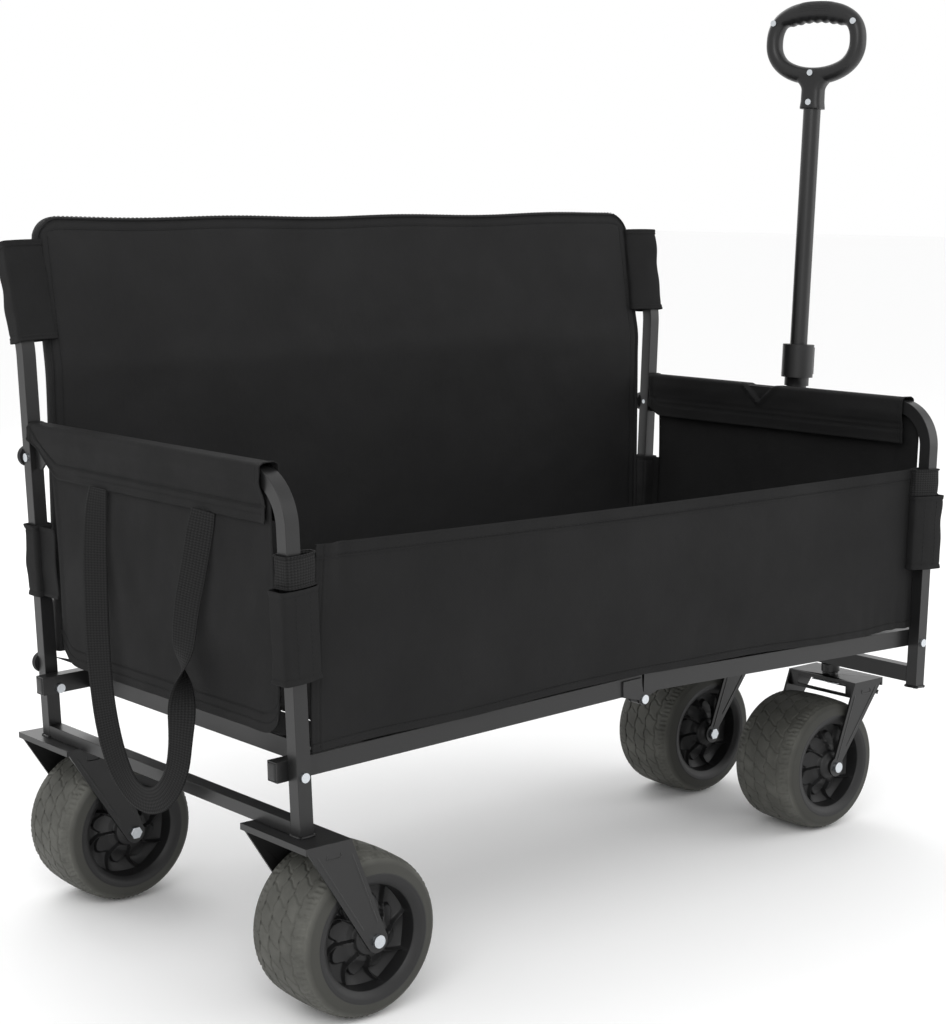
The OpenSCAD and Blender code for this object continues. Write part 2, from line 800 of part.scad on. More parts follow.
module rear_carry_strap()
    color(strap_black)
        translate([end_x(-1), 0, 0]) {
            n = len(strap_route);
            rings = [for (i = [0 : n - 1]) each strap_ring(i)];
            sides = [for (i = [0 : n - 2], j = [0 : 7])
                let (a = 8 * i + j, b = 8 * i + (j + 1) % 8)
                each [[a, b, b + 8], [a, b + 8, a + 8]]];
            caps = [[for (j = [7 : -1 : 0]) j], [for (j = [0 : 7]) 8 * (n - 1) + j]];
            polyhedron(rings, concat(sides, caps));
        }

// ---------- handle ----------

// Handle frame: origin on its pivot bolt, z up the tube
module at_handle()
    translate([end_x(1) + handle_pivot_out, 0, handle_pivot_z])
        rotate([0, handle_lean, 0])
            children();

collar_r = 22;
collar_len = 46;
collar_z = outer_tube_len - 6;
grip_z = collar_z + collar_len + handle_travel + 10;
neck_len = 36;
inner_low = outer_tube_len - 62;
yoke_half = outer_tube_r + side_gap;
handle_pin_r = 4;

yoke_low = handle_pivot_z + 9;
module handle_bracket()
    color(steel)
        translate([end_x(1), 0, 0])
            difference() {
                union() {
                    for (s = [-1, 1])
                        in_xz(s > 0 ? yoke_half : -yoke_half - stamp, s > 0 ? yoke_half + stamp : -yoke_half) {
                            translate([0, yoke_low])
                                square([handle_pivot_out - 2, front_bar_height]);
                            translate([handle_pivot_out, handle_pivot_z])
                                circle(r = 11);
                            polygon([[0, yoke_low], [handle_pivot_out - 9, handle_pivot_z - 6],
                                [handle_pivot_out + 10, handle_pivot_z + 5],
                                [handle_pivot_out - 2, yoke_low + front_bar_height]]);
                        }
                    bar(0, tube_half + stamp - 0.5, -yoke_half - 0.5, yoke_half + 0.5, yoke_low,
                        yoke_low + front_bar_height);
                }
                translate([0, 0, pivot_z])
                    rotate([0, splay, 0])
                        bar(-30, tube_half, -60, 60, -90, 10);
                translate([handle_pivot_out, 0, handle_pivot_z])
                    rod_y(handle_pin_r + running, -40, 40);
            }

module handle_pivot_bolt()
    color(zinc)
        translate([end_x(1) + handle_pivot_out, 0, handle_pivot_z]) {
            rod_y(handle_pin_r, -yoke_half - stamp - 4, yoke_half + stamp + 3);
            rod_y(handle_pin_r + 3, yoke_half + stamp, yoke_half + stamp + 3);
            translate([0, -yoke_half - stamp, 0])
                rotate([90, 0, 0])
                    cylinder(r = handle_pin_r + 3.5, h = 4, $fn = 6);
        }

module handle_outer_tube()
    color(steel)
        at_handle()
            difference() {
                translate([0, 0, -13])
                    cylinder(r = outer_tube_r, h = outer_tube_len + 13);
                translate([0, 0, -14])
                    cylinder(r = inner_tube_r + slide_gap, h = outer_tube_len + 20);
                rod_y(handle_pin_r + running, -30, 30);
            }

// Lock collar at the outer tube's mouth, with a pocket for its button
button_z = collar_z + 12;
module handle_collar()
    color(plastic_black)
        at_handle()
            difference() {
                union() {
                    translate([0, 0, collar_z])
                        cylinder(r = collar_r, h = collar_len);
                    translate([0, 0, collar_z - 12])
                        cylinder(r = outer_tube_r + 3, h = 14);
                    bar(4, collar_r + 3, -9, 9, collar_z + 4, collar_z + collar_len - 4);
                }
                translate([0, 0, collar_z - 13])
                    cylinder(r = outer_tube_r + 0.02, h = outer_tube_len - collar_z + 13);
                translate([0, 0, collar_z - 13])
                    cylinder(r = inner_tube_r + slide_gap, h = collar_len + 30);
                bar(outer_tube_r + 1.5, collar_r + 4, -6, 6, button_z - 0.4, button_z + 24.4);
            }

module handle_button()
    color(plastic_black)
        at_handle() {
            bar(outer_tube_r + 4.5, collar_r + 5.5, -5.6, 5.6, button_z, button_z + 24);
            for (i = [0 : 4])
                bar(collar_r + 5.4, collar_r + 6.5, -5, 5, button_z + 2 + 4.4 * i, button_z + 4 + 4.4 * i);
        }

module handle_inner_tube()
    color(steel)
        at_handle()
            difference() {
                translate([0, 0, inner_low])
                    cylinder(r = inner_tube_r, h = grip_z + neck_len - inner_low - 6);
                translate([0, 0, inner_low - 1])
                    cylinder(r = inner_tube_r - tube_wall, h = grip_z + neck_len - inner_low);
                rotate([0, 0, grip_turn])
                    translate([0, 0, grip_z + neck_screw_z])
                        rod_x(screw_r + running, -30, 30);
            }

// D grip outline in its own plane: y across, z up, with the opening cut out
module stadium(w, h)
    union() {
        square([w - h, h], center = true);
        translate([-(w - h) / 2, 0])
            circle(d = h);
        translate([(w - h) / 2, 0])
            circle(d = h);
    }

module grip_outline()
    difference() {
        union() {
            translate([0, neck_len + grip_height / 2 - 2])
                stadium(grip_width, grip_height);
            translate([-18, 0])
                square([36, neck_len + 10]);
        }
        translate([0, neck_len + grip_height / 2 - 2])
            stadium(grip_width - 2 * grip_band, grip_height - 2 * grip_band);
    }

neck_screw_z = 9;
grip_screws_at = [[-60, neck_len + grip_height * 0.72], [60, neck_len + grip_height * 0.72],
    [0, neck_len + 13], [0, neck_screw_z]];
screw_r = 1.6;

module grip_half(face)
    color(plastic_black)
        at_handle()
            rotate([0, 0, grip_turn])
                translate([0, 0, grip_z])
                    difference() {
                        translate([face > 0 ? 0.05 : -grip_depth / 2, 0, 0])
                            rotate([90, 0, 90])
                                linear_extrude(grip_depth / 2 - 0.05)
                                    grip_outline();
                        translate([0, 0, -1])
                            cylinder(r = inner_tube_r + 0.02, h = neck_len - 4);
                        for (p = grip_screws_at)
                            translate([0, p[0], p[1]])
                                rod_x(screw_r + running, -30, 30);
                    }
module grip_front_shell() grip_half(1);
module grip_back_shell() grip_half(-1);

module grip_screws()
    color(zinc)
        at_handle()
            rotate([0, 0, grip_turn])
                for (p = grip_screws_at)
                    translate([0, p[0], grip_z + p[1]]) {
                        rod_x(screw_r, -grip_depth / 2, grip_depth / 2 - 4);
                        rod_x(screw_r + 2.6, -grip_depth / 2 - 1.2, -grip_depth / 2);
                    }

// Plastic cradle on the front top rail that the upright handle snaps against
module handle_cradle()
    color(plastic_black)
        at_end(1)
            translate([0, 0, rail_up])
                difference() {
                    bar(tube_half + 0.1, tube_half + 14, -20, 20, -8, 8);
                    at_cradle_tube();
                }

// The handle tube's space, seen from the front end frame
module at_cradle_tube()
    rotate([0, -splay, 0])
        translate([handle_pivot_out - rail_up * sin(splay), 0, handle_pivot_z - pivot_z - rail_up * cos(splay)])
            rotate([0, handle_lean, 0])
                translate([0, 0, 300])
                    cylinder(r = outer_tube_r + slide_gap, h = 160);

rear_hoop();
rear_backrest_post();
rear_cross_bar();
rear_rail_bracket();
rear_frame_bolts();
rear_bumpers();
rear_left_wheel_bracket();
rear_right_wheel_bracket();
rear_axle_bolts();
rear_left_tyre();
rear_left_rim();
rear_right_tyre();
rear_right_rim();
rear_left_floor_rail();
rear_right_floor_rail();
rear_floor_bar();
rear_floor_board();
mid_hinge_rivets();
front_left_floor_rail();
front_right_floor_rail();
front_floor_bar();
front_floor_board();
front_hoop();
front_backrest_post();
front_cross_bar();
front_rail_bracket();
front_frame_bolts();
front_bumpers();
caster_sockets();
front_left_caster_fork();
front_right_caster_fork();
front_left_fork_hardware();
front_right_fork_hardware();
front_left_tyre();
front_left_rim();
front_right_tyre();
front_right_rim();
front_left_brake_lever();
front_right_brake_lever();
low_side_panel();
backrest();
backrest_rear_sleeve();
backrest_front_sleeve();
rear_end_panel();
rear_rail_sleeve();
rear_corner_tabs();
rear_carry_strap();
front_end_panel();
front_rail_sleeve();
front_corner_tabs();
handle_bracket();
handle_cradle();
handle_outer_tube();
handle_collar();
handle_button();
handle_inner_tube();
grip_front_shell();
grip_back_shell();
grip_screws();
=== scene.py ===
"""Folding camp wagon: the cloth, tyres, rims, finished steel, strap and grip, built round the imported
frame."""

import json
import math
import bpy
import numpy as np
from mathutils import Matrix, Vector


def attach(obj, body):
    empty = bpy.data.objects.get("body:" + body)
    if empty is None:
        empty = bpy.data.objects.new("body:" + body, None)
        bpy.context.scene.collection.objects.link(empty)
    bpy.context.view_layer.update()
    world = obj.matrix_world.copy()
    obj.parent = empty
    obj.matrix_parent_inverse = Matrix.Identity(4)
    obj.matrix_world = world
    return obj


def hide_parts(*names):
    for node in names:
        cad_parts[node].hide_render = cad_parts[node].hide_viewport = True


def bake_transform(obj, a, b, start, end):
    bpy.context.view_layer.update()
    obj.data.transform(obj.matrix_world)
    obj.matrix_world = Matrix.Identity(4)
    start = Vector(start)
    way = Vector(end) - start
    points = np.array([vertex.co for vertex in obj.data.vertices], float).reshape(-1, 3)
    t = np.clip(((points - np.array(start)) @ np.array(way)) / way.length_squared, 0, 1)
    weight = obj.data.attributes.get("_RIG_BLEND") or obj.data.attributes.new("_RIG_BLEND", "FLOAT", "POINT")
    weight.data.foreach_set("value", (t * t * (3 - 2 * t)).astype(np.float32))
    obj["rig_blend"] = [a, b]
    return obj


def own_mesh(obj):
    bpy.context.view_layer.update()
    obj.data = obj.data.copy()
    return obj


bl_info = {
    "name": "Folding Camp Wagon",
    "version": (1, 0, 0),
    "blender": (4, 5, 0),
    "location": "View3D > Sidebar > Wagon",
    "description": "Builds the cloth, tyres, steel finish, strap and grip of a folding camp wagon on its frame",
    "category": "Object",
}

import bmesh
import bpy
import numpy as np
from mathutils import Euler, Vector

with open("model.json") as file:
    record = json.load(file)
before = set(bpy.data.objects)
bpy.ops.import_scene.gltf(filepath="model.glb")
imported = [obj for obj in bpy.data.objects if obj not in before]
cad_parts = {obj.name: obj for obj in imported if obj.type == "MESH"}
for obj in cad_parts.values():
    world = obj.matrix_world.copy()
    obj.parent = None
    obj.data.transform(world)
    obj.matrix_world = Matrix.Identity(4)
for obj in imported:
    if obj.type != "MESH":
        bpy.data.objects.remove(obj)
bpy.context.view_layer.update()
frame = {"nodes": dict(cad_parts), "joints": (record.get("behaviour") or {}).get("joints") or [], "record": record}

# ---------------------------------------------------------------- facts taken from the frame

JOINTS = {joint["name"]: joint for joint in frame["joints"]}
BODIES = frame["record"]["behaviour"]["bodies"]
BODY_OF = {node: body for body, nodes in BODIES.items() for node in nodes}
SLOT_OF = {part["node"]: part["material_slot"] for part in frame["record"]["subparts"]}


def pivot(name):
    """The point a joint turns about, as an array in metres."""
    return np.array(JOINTS[name]["pos_m"], float)


REAR, MIDDLE, FRONT = pivot("fold"), pivot("floor_fold"), pivot("front_fold")
HANDLE = pivot("handle_tilt")
END = {-1: REAR, 1: FRONT}
END_BODY = {-1: "rear_frame", 1: "front_frame"}
END_NAME = {-1: "rear", 1: "front"}
SPLAY = math.radians(2.4)
RAIL_SLOPE = math.radians(1.56)
HANDLE_LEAN = math.radians(2.9)
GRIP_TURN = math.radians(15)
BACK_LEAN = math.radians(11)
HALF_W = 0.262
TUBE = 0.0085
RAIL_UP = (0.581 - REAR[2]) / math.cos(SPLAY)
LEAN_UP = (0.668 - REAR[2]) / math.cos(SPLAY)
LEAN_R = 0.09


def vec(x, y, z):
    """Three arrays or numbers as one array of points."""
    return np.stack(np.broadcast_arrays(x, y, z), axis=-1).astype(float)


def at_end(sign, out, y, up):
    """Points of an end frame: out is away from the tub, up runs up the leaning posts from the fold bolt."""
    x = END[sign][0] + sign * (out * math.cos(SPLAY) + up * math.sin(SPLAY))
    return vec(x, y, REAR[2] - out * math.sin(SPLAY) + up * math.cos(SPLAY))


def at_handle(out, y, up, turn=0.0):
    """Points of the pull handle: up runs along its tube from the pivot, turn is about the tube."""
    x, y = out * math.cos(turn) - y * math.sin(turn), out * math.sin(turn) + y * math.cos(turn)
    lean_x = x * math.cos(HANDLE_LEAN) + up * math.sin(HANDLE_LEAN)
    return vec(HANDLE[0] + lean_x, HANDLE[1] + y,
               HANDLE[2] - x * math.sin(HANDLE_LEAN) + up * math.cos(HANDLE_LEAN))


# ---------------------------------------------------------------- sizes and colours


class WagonCloth(bpy.types.PropertyGroup):
    thickness: bpy.props.FloatProperty(name="Cloth", description="Thickness of the coated cloth",
                                       default=0.0011, subtype="DISTANCE")
    pad: bpy.props.FloatProperty(name="Backrest padding", description="Thickness of the backrest",
                                 default=0.016, subtype="DISTANCE")
    belly: bpy.props.FloatProperty(name="Belly", description="How far a slack panel bows outwards",
                                   default=0.006, subtype="DISTANCE")
    thread: bpy.props.FloatProperty(name="Weave", description="Spacing of the cloth's threads",
                                    default=0.0011, subtype="DISTANCE")
    colour: bpy.props.FloatVectorProperty(name="Cloth colour", description="Black of the coated cloth",
                                          subtype="COLOR", default=(0.0096, 0.0096, 0.0098))
    webbing: bpy.props.FloatVectorProperty(name="Webbing colour", description="Black of the straps",
                                           subtype="COLOR", default=(0.0080, 0.0080, 0.0081))


class WagonWheels(bpy.types.PropertyGroup):
    radius: bpy.props.FloatProperty(name="Radius", description="Outer radius of a tyre", default=0.09,
                                    subtype="DISTANCE")
    width: bpy.props.FloatProperty(name="Width", description="Width of a tyre", default=0.106,
                                   subtype="DISTANCE")
    seat: bpy.props.FloatProperty(name="Rim", description="Radius where the tyre sits on its rim",
                                  default=0.064, subtype="DISTANCE")
    tread: bpy.props.FloatProperty(name="Tread depth", description="Depth of the tread's grooves",
                                   default=0.0014, subtype="DISTANCE")
    spokes: bpy.props.IntProperty(name="Ribs", description="Ribs in the dish of a rim", default=8, min=3)
    rubber: bpy.props.FloatVectorProperty(name="Tyre colour", description="Warm grey of the tread rubber",
                                          subtype="COLOR", default=(0.074, 0.074, 0.066))
    plastic: bpy.props.FloatVectorProperty(name="Rim colour", description="Black of the rim",
                                           subtype="COLOR", default=(0.0092, 0.0092, 0.0095))


class WagonSteel(bpy.types.PropertyGroup):
    edge: bpy.props.FloatProperty(name="Tube corner", description="Outer corner radius of the square tube",
                                  default=0.0022, subtype="DISTANCE")
    stamped_edge: bpy.props.FloatProperty(name="Stamped edge", description="Rounding of stamped steel",
                                          default=0.0011, subtype="DISTANCE")
    coat: bpy.props.FloatVectorProperty(name="Powder coat", description="Black of the powder coat",
                                        subtype="COLOR", default=(0.0086, 0.0086, 0.0088))
    zinc: bpy.props.FloatVectorProperty(name="Zinc", description="Colour of the zinc plating",
                                        subtype="COLOR", default=(0.63, 0.66, 0.69))
    grip: bpy.props.FloatVectorProperty(name="Grip plastic", description="Black of the moulded plastic",
                                        subtype="COLOR", default=(0.0080, 0.0080, 0.0083))


# ---------------------------------------------------------------- shader maths


class Wire:
    """A node's output socket. Arithmetic on it adds Math nodes to its material."""

    def __init__(self, paint, socket):
        self.paint = paint
        self.socket = socket

    def _math(self, operation, *values):
        return self.paint.node("ShaderNodeMath", {"operation": operation}, *values)

    def __add__(self, other):
        return self._math("ADD", self, other)

    __radd__ = __add__

    def __sub__(self, other):
        return self._math("SUBTRACT", self, other)

    def __rsub__(self, other):
        return self._math("SUBTRACT", other, self)

    def __mul__(self, other):
        return self._math("MULTIPLY", self, other)

    __rmul__ = __mul__

    def __pow__(self, other):
        return self._math("POWER", self, other)

    def sine(self):
        return self._math("SINE", self)

    def between(self, low, high):
        """0 below low, 1 above high and a smooth step between them."""
        settings = {"interpolation_type": "SMOOTHSTEP"}
        return self.paint.node("ShaderNodeMapRange", settings, self, low, high)


class Paint:
    """A material with one Principled shader, its uniform values set on the shader's own sockets."""

    def __init__(self, name, **uniform):
        self.material = bpy.data.materials.new(name)
        self.material.use_nodes = True
        self.tree = self.material.node_tree
        self.shader = self.tree.nodes["Principled BSDF"]
        for socket, value in uniform.items():
            self.set(socket.replace("_", " "), value)

    def node(self, kind, settings, *values, out=0):
        """Add one node: its settings first, then a value or a wire for each socket, by place or by name."""
        made = self.tree.nodes.new(kind)
        for key, value in settings.items():
            if key == "stops":
                for stop, colour in zip(made.color_ramp.elements, value):
                    stop.position, stop.color = colour
            elif key != "sockets":
                setattr(made, key, value)
        named = list(settings.get("sockets", {}).items())
        for place, value in list(enumerate(values)) + named:
            if isinstance(value, Wire):
                self.tree.links.new(value.socket, made.inputs[place])
            elif value is not None:
                made.inputs[place].default_value = value
        return Wire(self, made.outputs[out])

    def set(self, name, value):
        """Give a socket of the shader a value or a wire."""
        socket = self.shader.inputs[name]
        if isinstance(value, Wire):
            self.tree.links.new(value.socket, socket)
        elif hasattr(value, "__len__"):
            socket.default_value = (*value, 1.0)
        else:
            socket.default_value = value

    def place(self):
        return self.node("ShaderNodeTexCoord", {}, out=3)

    def noise(self, scale, detail=4.0, rough=0.55, where=None, stretch=None):
        """Noise in metres on the piece: scale is in cycles a metre."""
        where = where or self.place()
        if stretch:
            where = self.node("ShaderNodeMapping", {"sockets": {"Scale": stretch}}, where)
        sockets = {"Scale": scale, "Detail": detail, "Roughness": rough}
        return self.node("ShaderNodeTexNoise", {"sockets": sockets}, where)

    def sideways(self):
        """How squarely the surface faces along the axle, squared."""
        normal = self.node("ShaderNodeTexCoord", {}, out=1)
        split = self.node("ShaderNodeSeparateXYZ", {}, normal)
        return Wire(self, split.socket.node.outputs[1]) ** 2.0

    def mix(self, mask, first, second):
        """Blend two colours by a mask."""
        sockets = {6: first if isinstance(first, Wire) else (*first, 1.0), 7: (*second, 1.0)}
        return self.node("ShaderNodeMix", {"data_type": "RGBA", "sockets": sockets}, mask, out=2)

    def bump(self, height, distance, strength=1.0, under=None):
        sockets = {"Height": height, "Distance": distance, "Strength": strength}
        if under:
            sockets["Normal"] = under
        return self.node("ShaderNodeBump", {"sockets": sockets})


def shaded(colour, share):
    """A colour made lighter or darker by a share."""
    return tuple(min(1.0, value * share) for value in colour)


def cloth_finish(name, colour, thread, slub=0.22):
    """Coated plain-weave cloth on a UV map in metres: crossed threads, slubs, faint mottling and dust."""
    paint = Paint(name, Sheen_Weight=0.0, Specular_IOR_Level=0.16)
    uv = paint.node("ShaderNodeUVMap", {"uv_map": "cloth"})
    split = paint.node("ShaderNodeSeparateXYZ", {}, uv)
    across, along = split, Wire(paint, split.socket.node.outputs[1])
    turn = math.pi / thread
    warp = (across * turn).sine() ** 2.0
    weft = (along * turn).sine() ** 2.0
    checker = ((across * turn * 0.5).sine() * (along * turn * 0.5).sine()).between(-0.3, 0.3)
    threads = warp * checker + weft * (1.0 - checker)
    slubs = paint.noise(260.0, 3.0, 0.6, uv, (1.0, 0.12, 1.0))
    mottle = paint.noise(9.0, 5.0, 0.6)
    shade = (threads * 0.35 + slubs * slub + mottle * 0.55).between(0.25, 1.0)
    paint.set("Base Color", paint.mix(shade, shaded(colour, 0.80), shaded(colour, 1.22)))
    paint.set("Roughness", 0.86 - mottle * 0.22)
    soft = paint.bump(paint.noise(70.0, 4.0, 0.55), 0.0016, 0.35)
    paint.set("Normal", paint.bump(threads + slubs * 0.6, 0.00035, 0.55, soft))
    return paint.material


def webbing_finish(name, colour):
    """Ribbed webbing on a UV map in metres: diagonal twill ribs and a plain selvedge."""
    paint = Paint(name, Specular_IOR_Level=0.16)
    uv = paint.node("ShaderNodeUVMap", {"uv_map": "cloth"})
    split = paint.node("ShaderNodeSeparateXYZ", {}, uv)
    across, along = split, Wire(paint, split.socket.node.outputs[1])
    ribs = (across * 1700.0).sine() * 0.5 + 0.5
    picks = (along * 2100.0 + ribs * 1.2).sine() * 0.5 + 0.5
    weave = ribs * 0.45 + picks * 0.55
    paint.set("Base Color", paint.mix(weave, shaded(colour, 0.6), shaded(colour, 1.9)))
    paint.set("Roughness", 0.82 - weave * 0.2)
    paint.set("Normal", paint.bump(weave, 0.0006, 0.8))
    return paint.material


def steel_finish(name, colour):
    """Semi-gloss powder coat: fine orange peel, uneven sheen and a little dust."""
    paint = Paint(name, Specular_IOR_Level=0.42)
    peel = paint.noise(900.0, 2.0, 0.5)
    cloud = paint.noise(14.0, 5.0, 0.6)
    paint.set("Base Color", paint.mix(cloud, shaded(colour, 0.82), shaded(colour, 1.25)))
    paint.set("Roughness", 0.26 + cloud * 0.16)
    paint.set("Normal", paint.bump(peel, 0.00018, 0.35))
    return paint.material


def zinc_finish(name, colour):
    """Bright zinc plating with faint crystal mottling and drawing marks."""
    paint = Paint(name, Metallic=1.0)
    spots = paint.noise(600.0, 4.0, 0.6)
    paint.set("Base Color", paint.mix(spots, shaded(colour, 0.72), shaded(colour, 1.1)))
    paint.set("Roughness", 0.2 + spots * 0.25)
    paint.set("Normal", paint.bump(spots, 0.00012, 0.3))
    return paint.material


def rubber_finish(name, colour, dust, flank=1.0):
    """Moulded rubber: matte, slightly mottled, with pale dust in its fine grain, and flanks of another
    shade where
    the surface faces along the axle."""
    paint = Paint(name, Specular_IOR_Level=0.22)
    grain = paint.noise(1500.0, 3.0, 0.6)
    cloud = paint.noise(26.0, 6.0, 0.62)
    mask = (cloud + grain * 0.25).between(0.42, 0.86)
    tone = paint.mix(mask, shaded(colour, 0.86), shaded(colour, dust))
    if flank != 1.0:
        facing = paint.sideways().between(0.30, 0.85)
        tone = paint.mix(facing, tone, shaded(colour, flank))
    paint.set("Base Color", tone)
    paint.set("Roughness", 0.74 - cloud * 0.18)
    paint.set("Normal", paint.bump(grain, 0.0003, 0.4))
    return paint.material


def plastic_finish(name, colour, rough):
    """Injection-moulded plastic with a fine spark-eroded grain."""
    paint = Paint(name, Specular_IOR_Level=0.38)
    grain = paint.noise(2200.0, 2.0, 0.5)
    cloud = paint.noise(30.0, 4.0, 0.5)
    paint.set("Base Color", paint.mix(cloud, shaded(colour, 0.85), shaded(colour, 1.2)))
    paint.set("Roughness", rough + (grain - 0.5) * 0.16)
    paint.set("Normal", paint.bump(grain, 0.00022, 0.3))
    return paint.material


def make_finishes(scene):
    """One material for each slot of the record, by slot."""
    cloth, wheels, steel = scene.wagon_cloth, scene.wagon_wheels, scene.wagon_steel
    return {
        "powder_coat": steel_finish("black_powder_coat", tuple(steel.coat)),
        "zinc": zinc_finish("bright_zinc", tuple(steel.zinc)),
        "rubber": rubber_finish("bumper_rubber", (0.011, 0.011, 0.0115), 1.3),
        "tyre": rubber_finish("tread_rubber", tuple(wheels.rubber), 1.35, 0.60),
        "rim_plastic": plastic_finish("rim_plastic", tuple(wheels.plastic), 0.46),
        "oxford_cloth": cloth_finish("black_oxford_cloth", tuple(cloth.colour), cloth.thread),
        # painted light: the backrest's cloth is the same black cloth made 1.45 times lighter, standing in for the
        # light its leaning face misses
        "backrest_cloth": cloth_finish("backrest_cloth", shaded(tuple(cloth.colour), 1.45), cloth.thread),
        "floor_padding": cloth_finish("floor_cloth", tuple(cloth.colour), cloth.thread, 0.3),
        "webbing": webbing_finish("black_webbing", tuple(cloth.webbing)),
        "grip_plastic": plastic_finish("grip_plastic", tuple(steel.grip), 0.36),
    }


FINISH = {}

# ---------------------------------------------------------------- surfaces


def unit(v):
    """Vectors along the last axis, made one long."""
    return v / np.maximum(np.linalg.norm(v, axis=-1, keepdims=True), 1e-12)


def step(x, low, high):
    """0 below low, 1 above high and a smooth cubic between them."""
    t = np.clip((x - low) / (high - low), 0.0, 1.0)
    return t * t * (3 - 2 * t)


def groove(distance, width):
    """1 on a line and 0 beyond half the width, with a rounded foot."""
    return 1.0 - step(np.abs(distance), width * 0.22, width * 0.5)


def folds(u, v, seed, low, high, lean=0.0, spread=0.7, count=16):
    """Soft creases: sine waves of random direction and length, low to high cycles a metre, weaker when
    short."""
    rng = np.random.default_rng(seed)
    total = np.zeros(np.broadcast(u, v).shape)
    for _ in range(count):
        rate, turn, phase = rng.uniform(low, high), rng.normal(lean, spread), rng.uniform(0, 2 * math.pi)
        wave = np.sin(2 * math.pi * rate * (u * math.cos(turn) + v * math.sin(turn)) + phase)
        total = total + wave * (low / rate) ** 0.5
    return total / count**0.5


def smooth_line(points, per_span):
    """A Catmull-Rom curve through given points, per_span points to each span."""
    p = np.array(points, float)
    p = np.concatenate([[2 * p[0] - p[1]], p, [2 * p[-1] - p[-2]]])
    t = np.linspace(0, 1, per_span, endpoint=False)[None, :, None]
    a, b, c, d = p[:-3, None], p[1:-2, None], p[2:-1, None], p[3:, None]
    cubic = (-a + 3 * b - 3 * c + d) * t**3 + (2 * a - 5 * b + 4 * c - d) * t**2 + (c - a) * t + 2 * b
    return np.concatenate([(0.5 * cubic).reshape(-1, p.shape[1]), p[-2:-1]])


class Shape:
    """Collects grids of points into one mesh with a UV map in metres."""

    def __init__(self):
        self.points, self.faces, self.uvs, self.count = [], [], [], 0

    def add(self, points, faces, uv):
        self.points.append(points.reshape(-1, 3))
        self.faces.append(faces + self.count)
        self.uvs.append(uv.reshape(-1, 2))
        self.count += len(self.points[-1])

    def grid(self, p, round_rows=False, round_columns=False):
        """Quads over rows and columns of points; a round direction closes on itself. UVs are lengths in
        metres."""
        rows, columns = p.shape[:2]
        r, c = np.arange(rows + round_rows), np.arange(columns + round_columns)
        whole = p[np.ix_(r % rows, c % columns)]
        across = np.cumsum(np.linalg.norm(np.diff(whole, axis=1, prepend=whole[:, :1]), axis=2), axis=1)
        along = np.cumsum(np.linalg.norm(np.diff(whole, axis=0, prepend=whole[:1]), axis=2), axis=0)
        uv = np.stack([across.mean(0)[None] + 0 * across, along.mean(1)[:, None] + 0 * along], axis=-1)
        i, j = np.meshgrid(r[:-1], c[:-1], indexing="ij")
        corners = [(i, j), (i, j + 1), (i + 1, j + 1), (i + 1, j)]
        faces = np.stack([(a % rows) * columns + b % columns for a, b in corners], axis=-1).reshape(-1, 4)
        uvs = np.stack([uv[a, b] for a, b in corners], axis=2)
        self.add(p, faces, uvs)

    def disc(self, ring):
        """A fan that closes a ring of points at its middle."""
        n = len(ring)
        points = np.concatenate([ring, ring.mean(0)[None]])
        faces = np.stack([np.arange(n), (np.arange(n) + 1) % n, np.full(n, n)], axis=-1)
        self.add(points, faces, points[faces][..., :2])

    def tube(self, rings, caps=True):
        """A closed tube of rings, with both ends closed if asked."""
        self.grid(rings, round_columns=True)
        if caps:
            self.disc(rings[0])
            self.disc(rings[-1])

    def mesh(self, name, sharp=40.0, outward=True):
        """The finished mesh: doubles merged, faces turned outwards on a closed shape, sharp above an
        angle."""
        mesh = bpy.data.meshes.new(name)
        points = np.concatenate(self.points)
        loops = np.concatenate([f.ravel() for f in self.faces])
        sizes = np.concatenate([np.full(len(f), f.shape[1]) for f in self.faces])
        mesh.vertices.add(len(points))
        mesh.vertices.foreach_set("co", points.astype(np.float32).ravel())
        mesh.loops.add(len(loops))
        mesh.loops.foreach_set("vertex_index", loops.astype(np.int32))
        mesh.polygons.add(len(sizes))
        mesh.polygons.foreach_set("loop_start",
                                  np.concatenate([[0], np.cumsum(sizes)[:-1]]).astype(np.int32))
        mesh.update(calc_edges=True)
        layer = mesh.uv_layers.new(name="cloth")
        layer.data.foreach_set("uv", np.concatenate(self.uvs).astype(np.float32).ravel())
        work = bmesh.new()
        work.from_mesh(mesh)
        bmesh.ops.remove_doubles(work, verts=work.verts, dist=1e-6)
        if outward:
            bmesh.ops.recalc_face_normals(work, faces=work.faces)
        work.to_mesh(mesh)
        work.free()
        mesh.polygons.foreach_set("use_smooth", np.ones(len(mesh.polygons), bool))
        mesh.set_sharp_from_angle(angle=math.radians(sharp))
        mesh.update()
        return mesh


def piece(name, mesh, slot, body, *nodes):
    """Put a mesh in the scene with its finish, on a body, standing for the CAD nodes that it replaces."""
    made = bpy.data.objects.new(name, mesh)
    bpy.context.scene.collection.objects.link(made)
    made.data.materials.clear()
    made.data.materials.append(FINISH[slot])
    if nodes:
        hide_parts(*nodes)
    if body:
        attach(made, body)
    return made


def thicken(made, thickness, offset=0.0):
    """Give a sheet of cloth its thickness."""
    wall = made.modifiers.new("cloth", "SOLIDIFY")
    wall.thickness = thickness
    wall.offset = offset
    wall.use_even_offset = True
    return made


def swept(line, section, across, lift):
    """Rings of a flat section carried along a line: each point goes across and lift by its two numbers."""
    return line[:, None] + section[None, :, :1] * across[:, None] + section[None, :, 1:] * lift[:, None]


def round_section(half_a, half_b, count=10, power=2.0):
    """Closed oval outline: cosine and sine, each raised to 2 / power, times the half sizes."""
    t = np.linspace(0, 2 * math.pi, count, endpoint=False)
    c, s = np.cos(t), np.sin(t)
    return np.stack([half_a * np.sign(c) * np.abs(c) ** (2 / power),
                     half_b * np.sign(s) * np.abs(s) ** (2 / power)], -1)


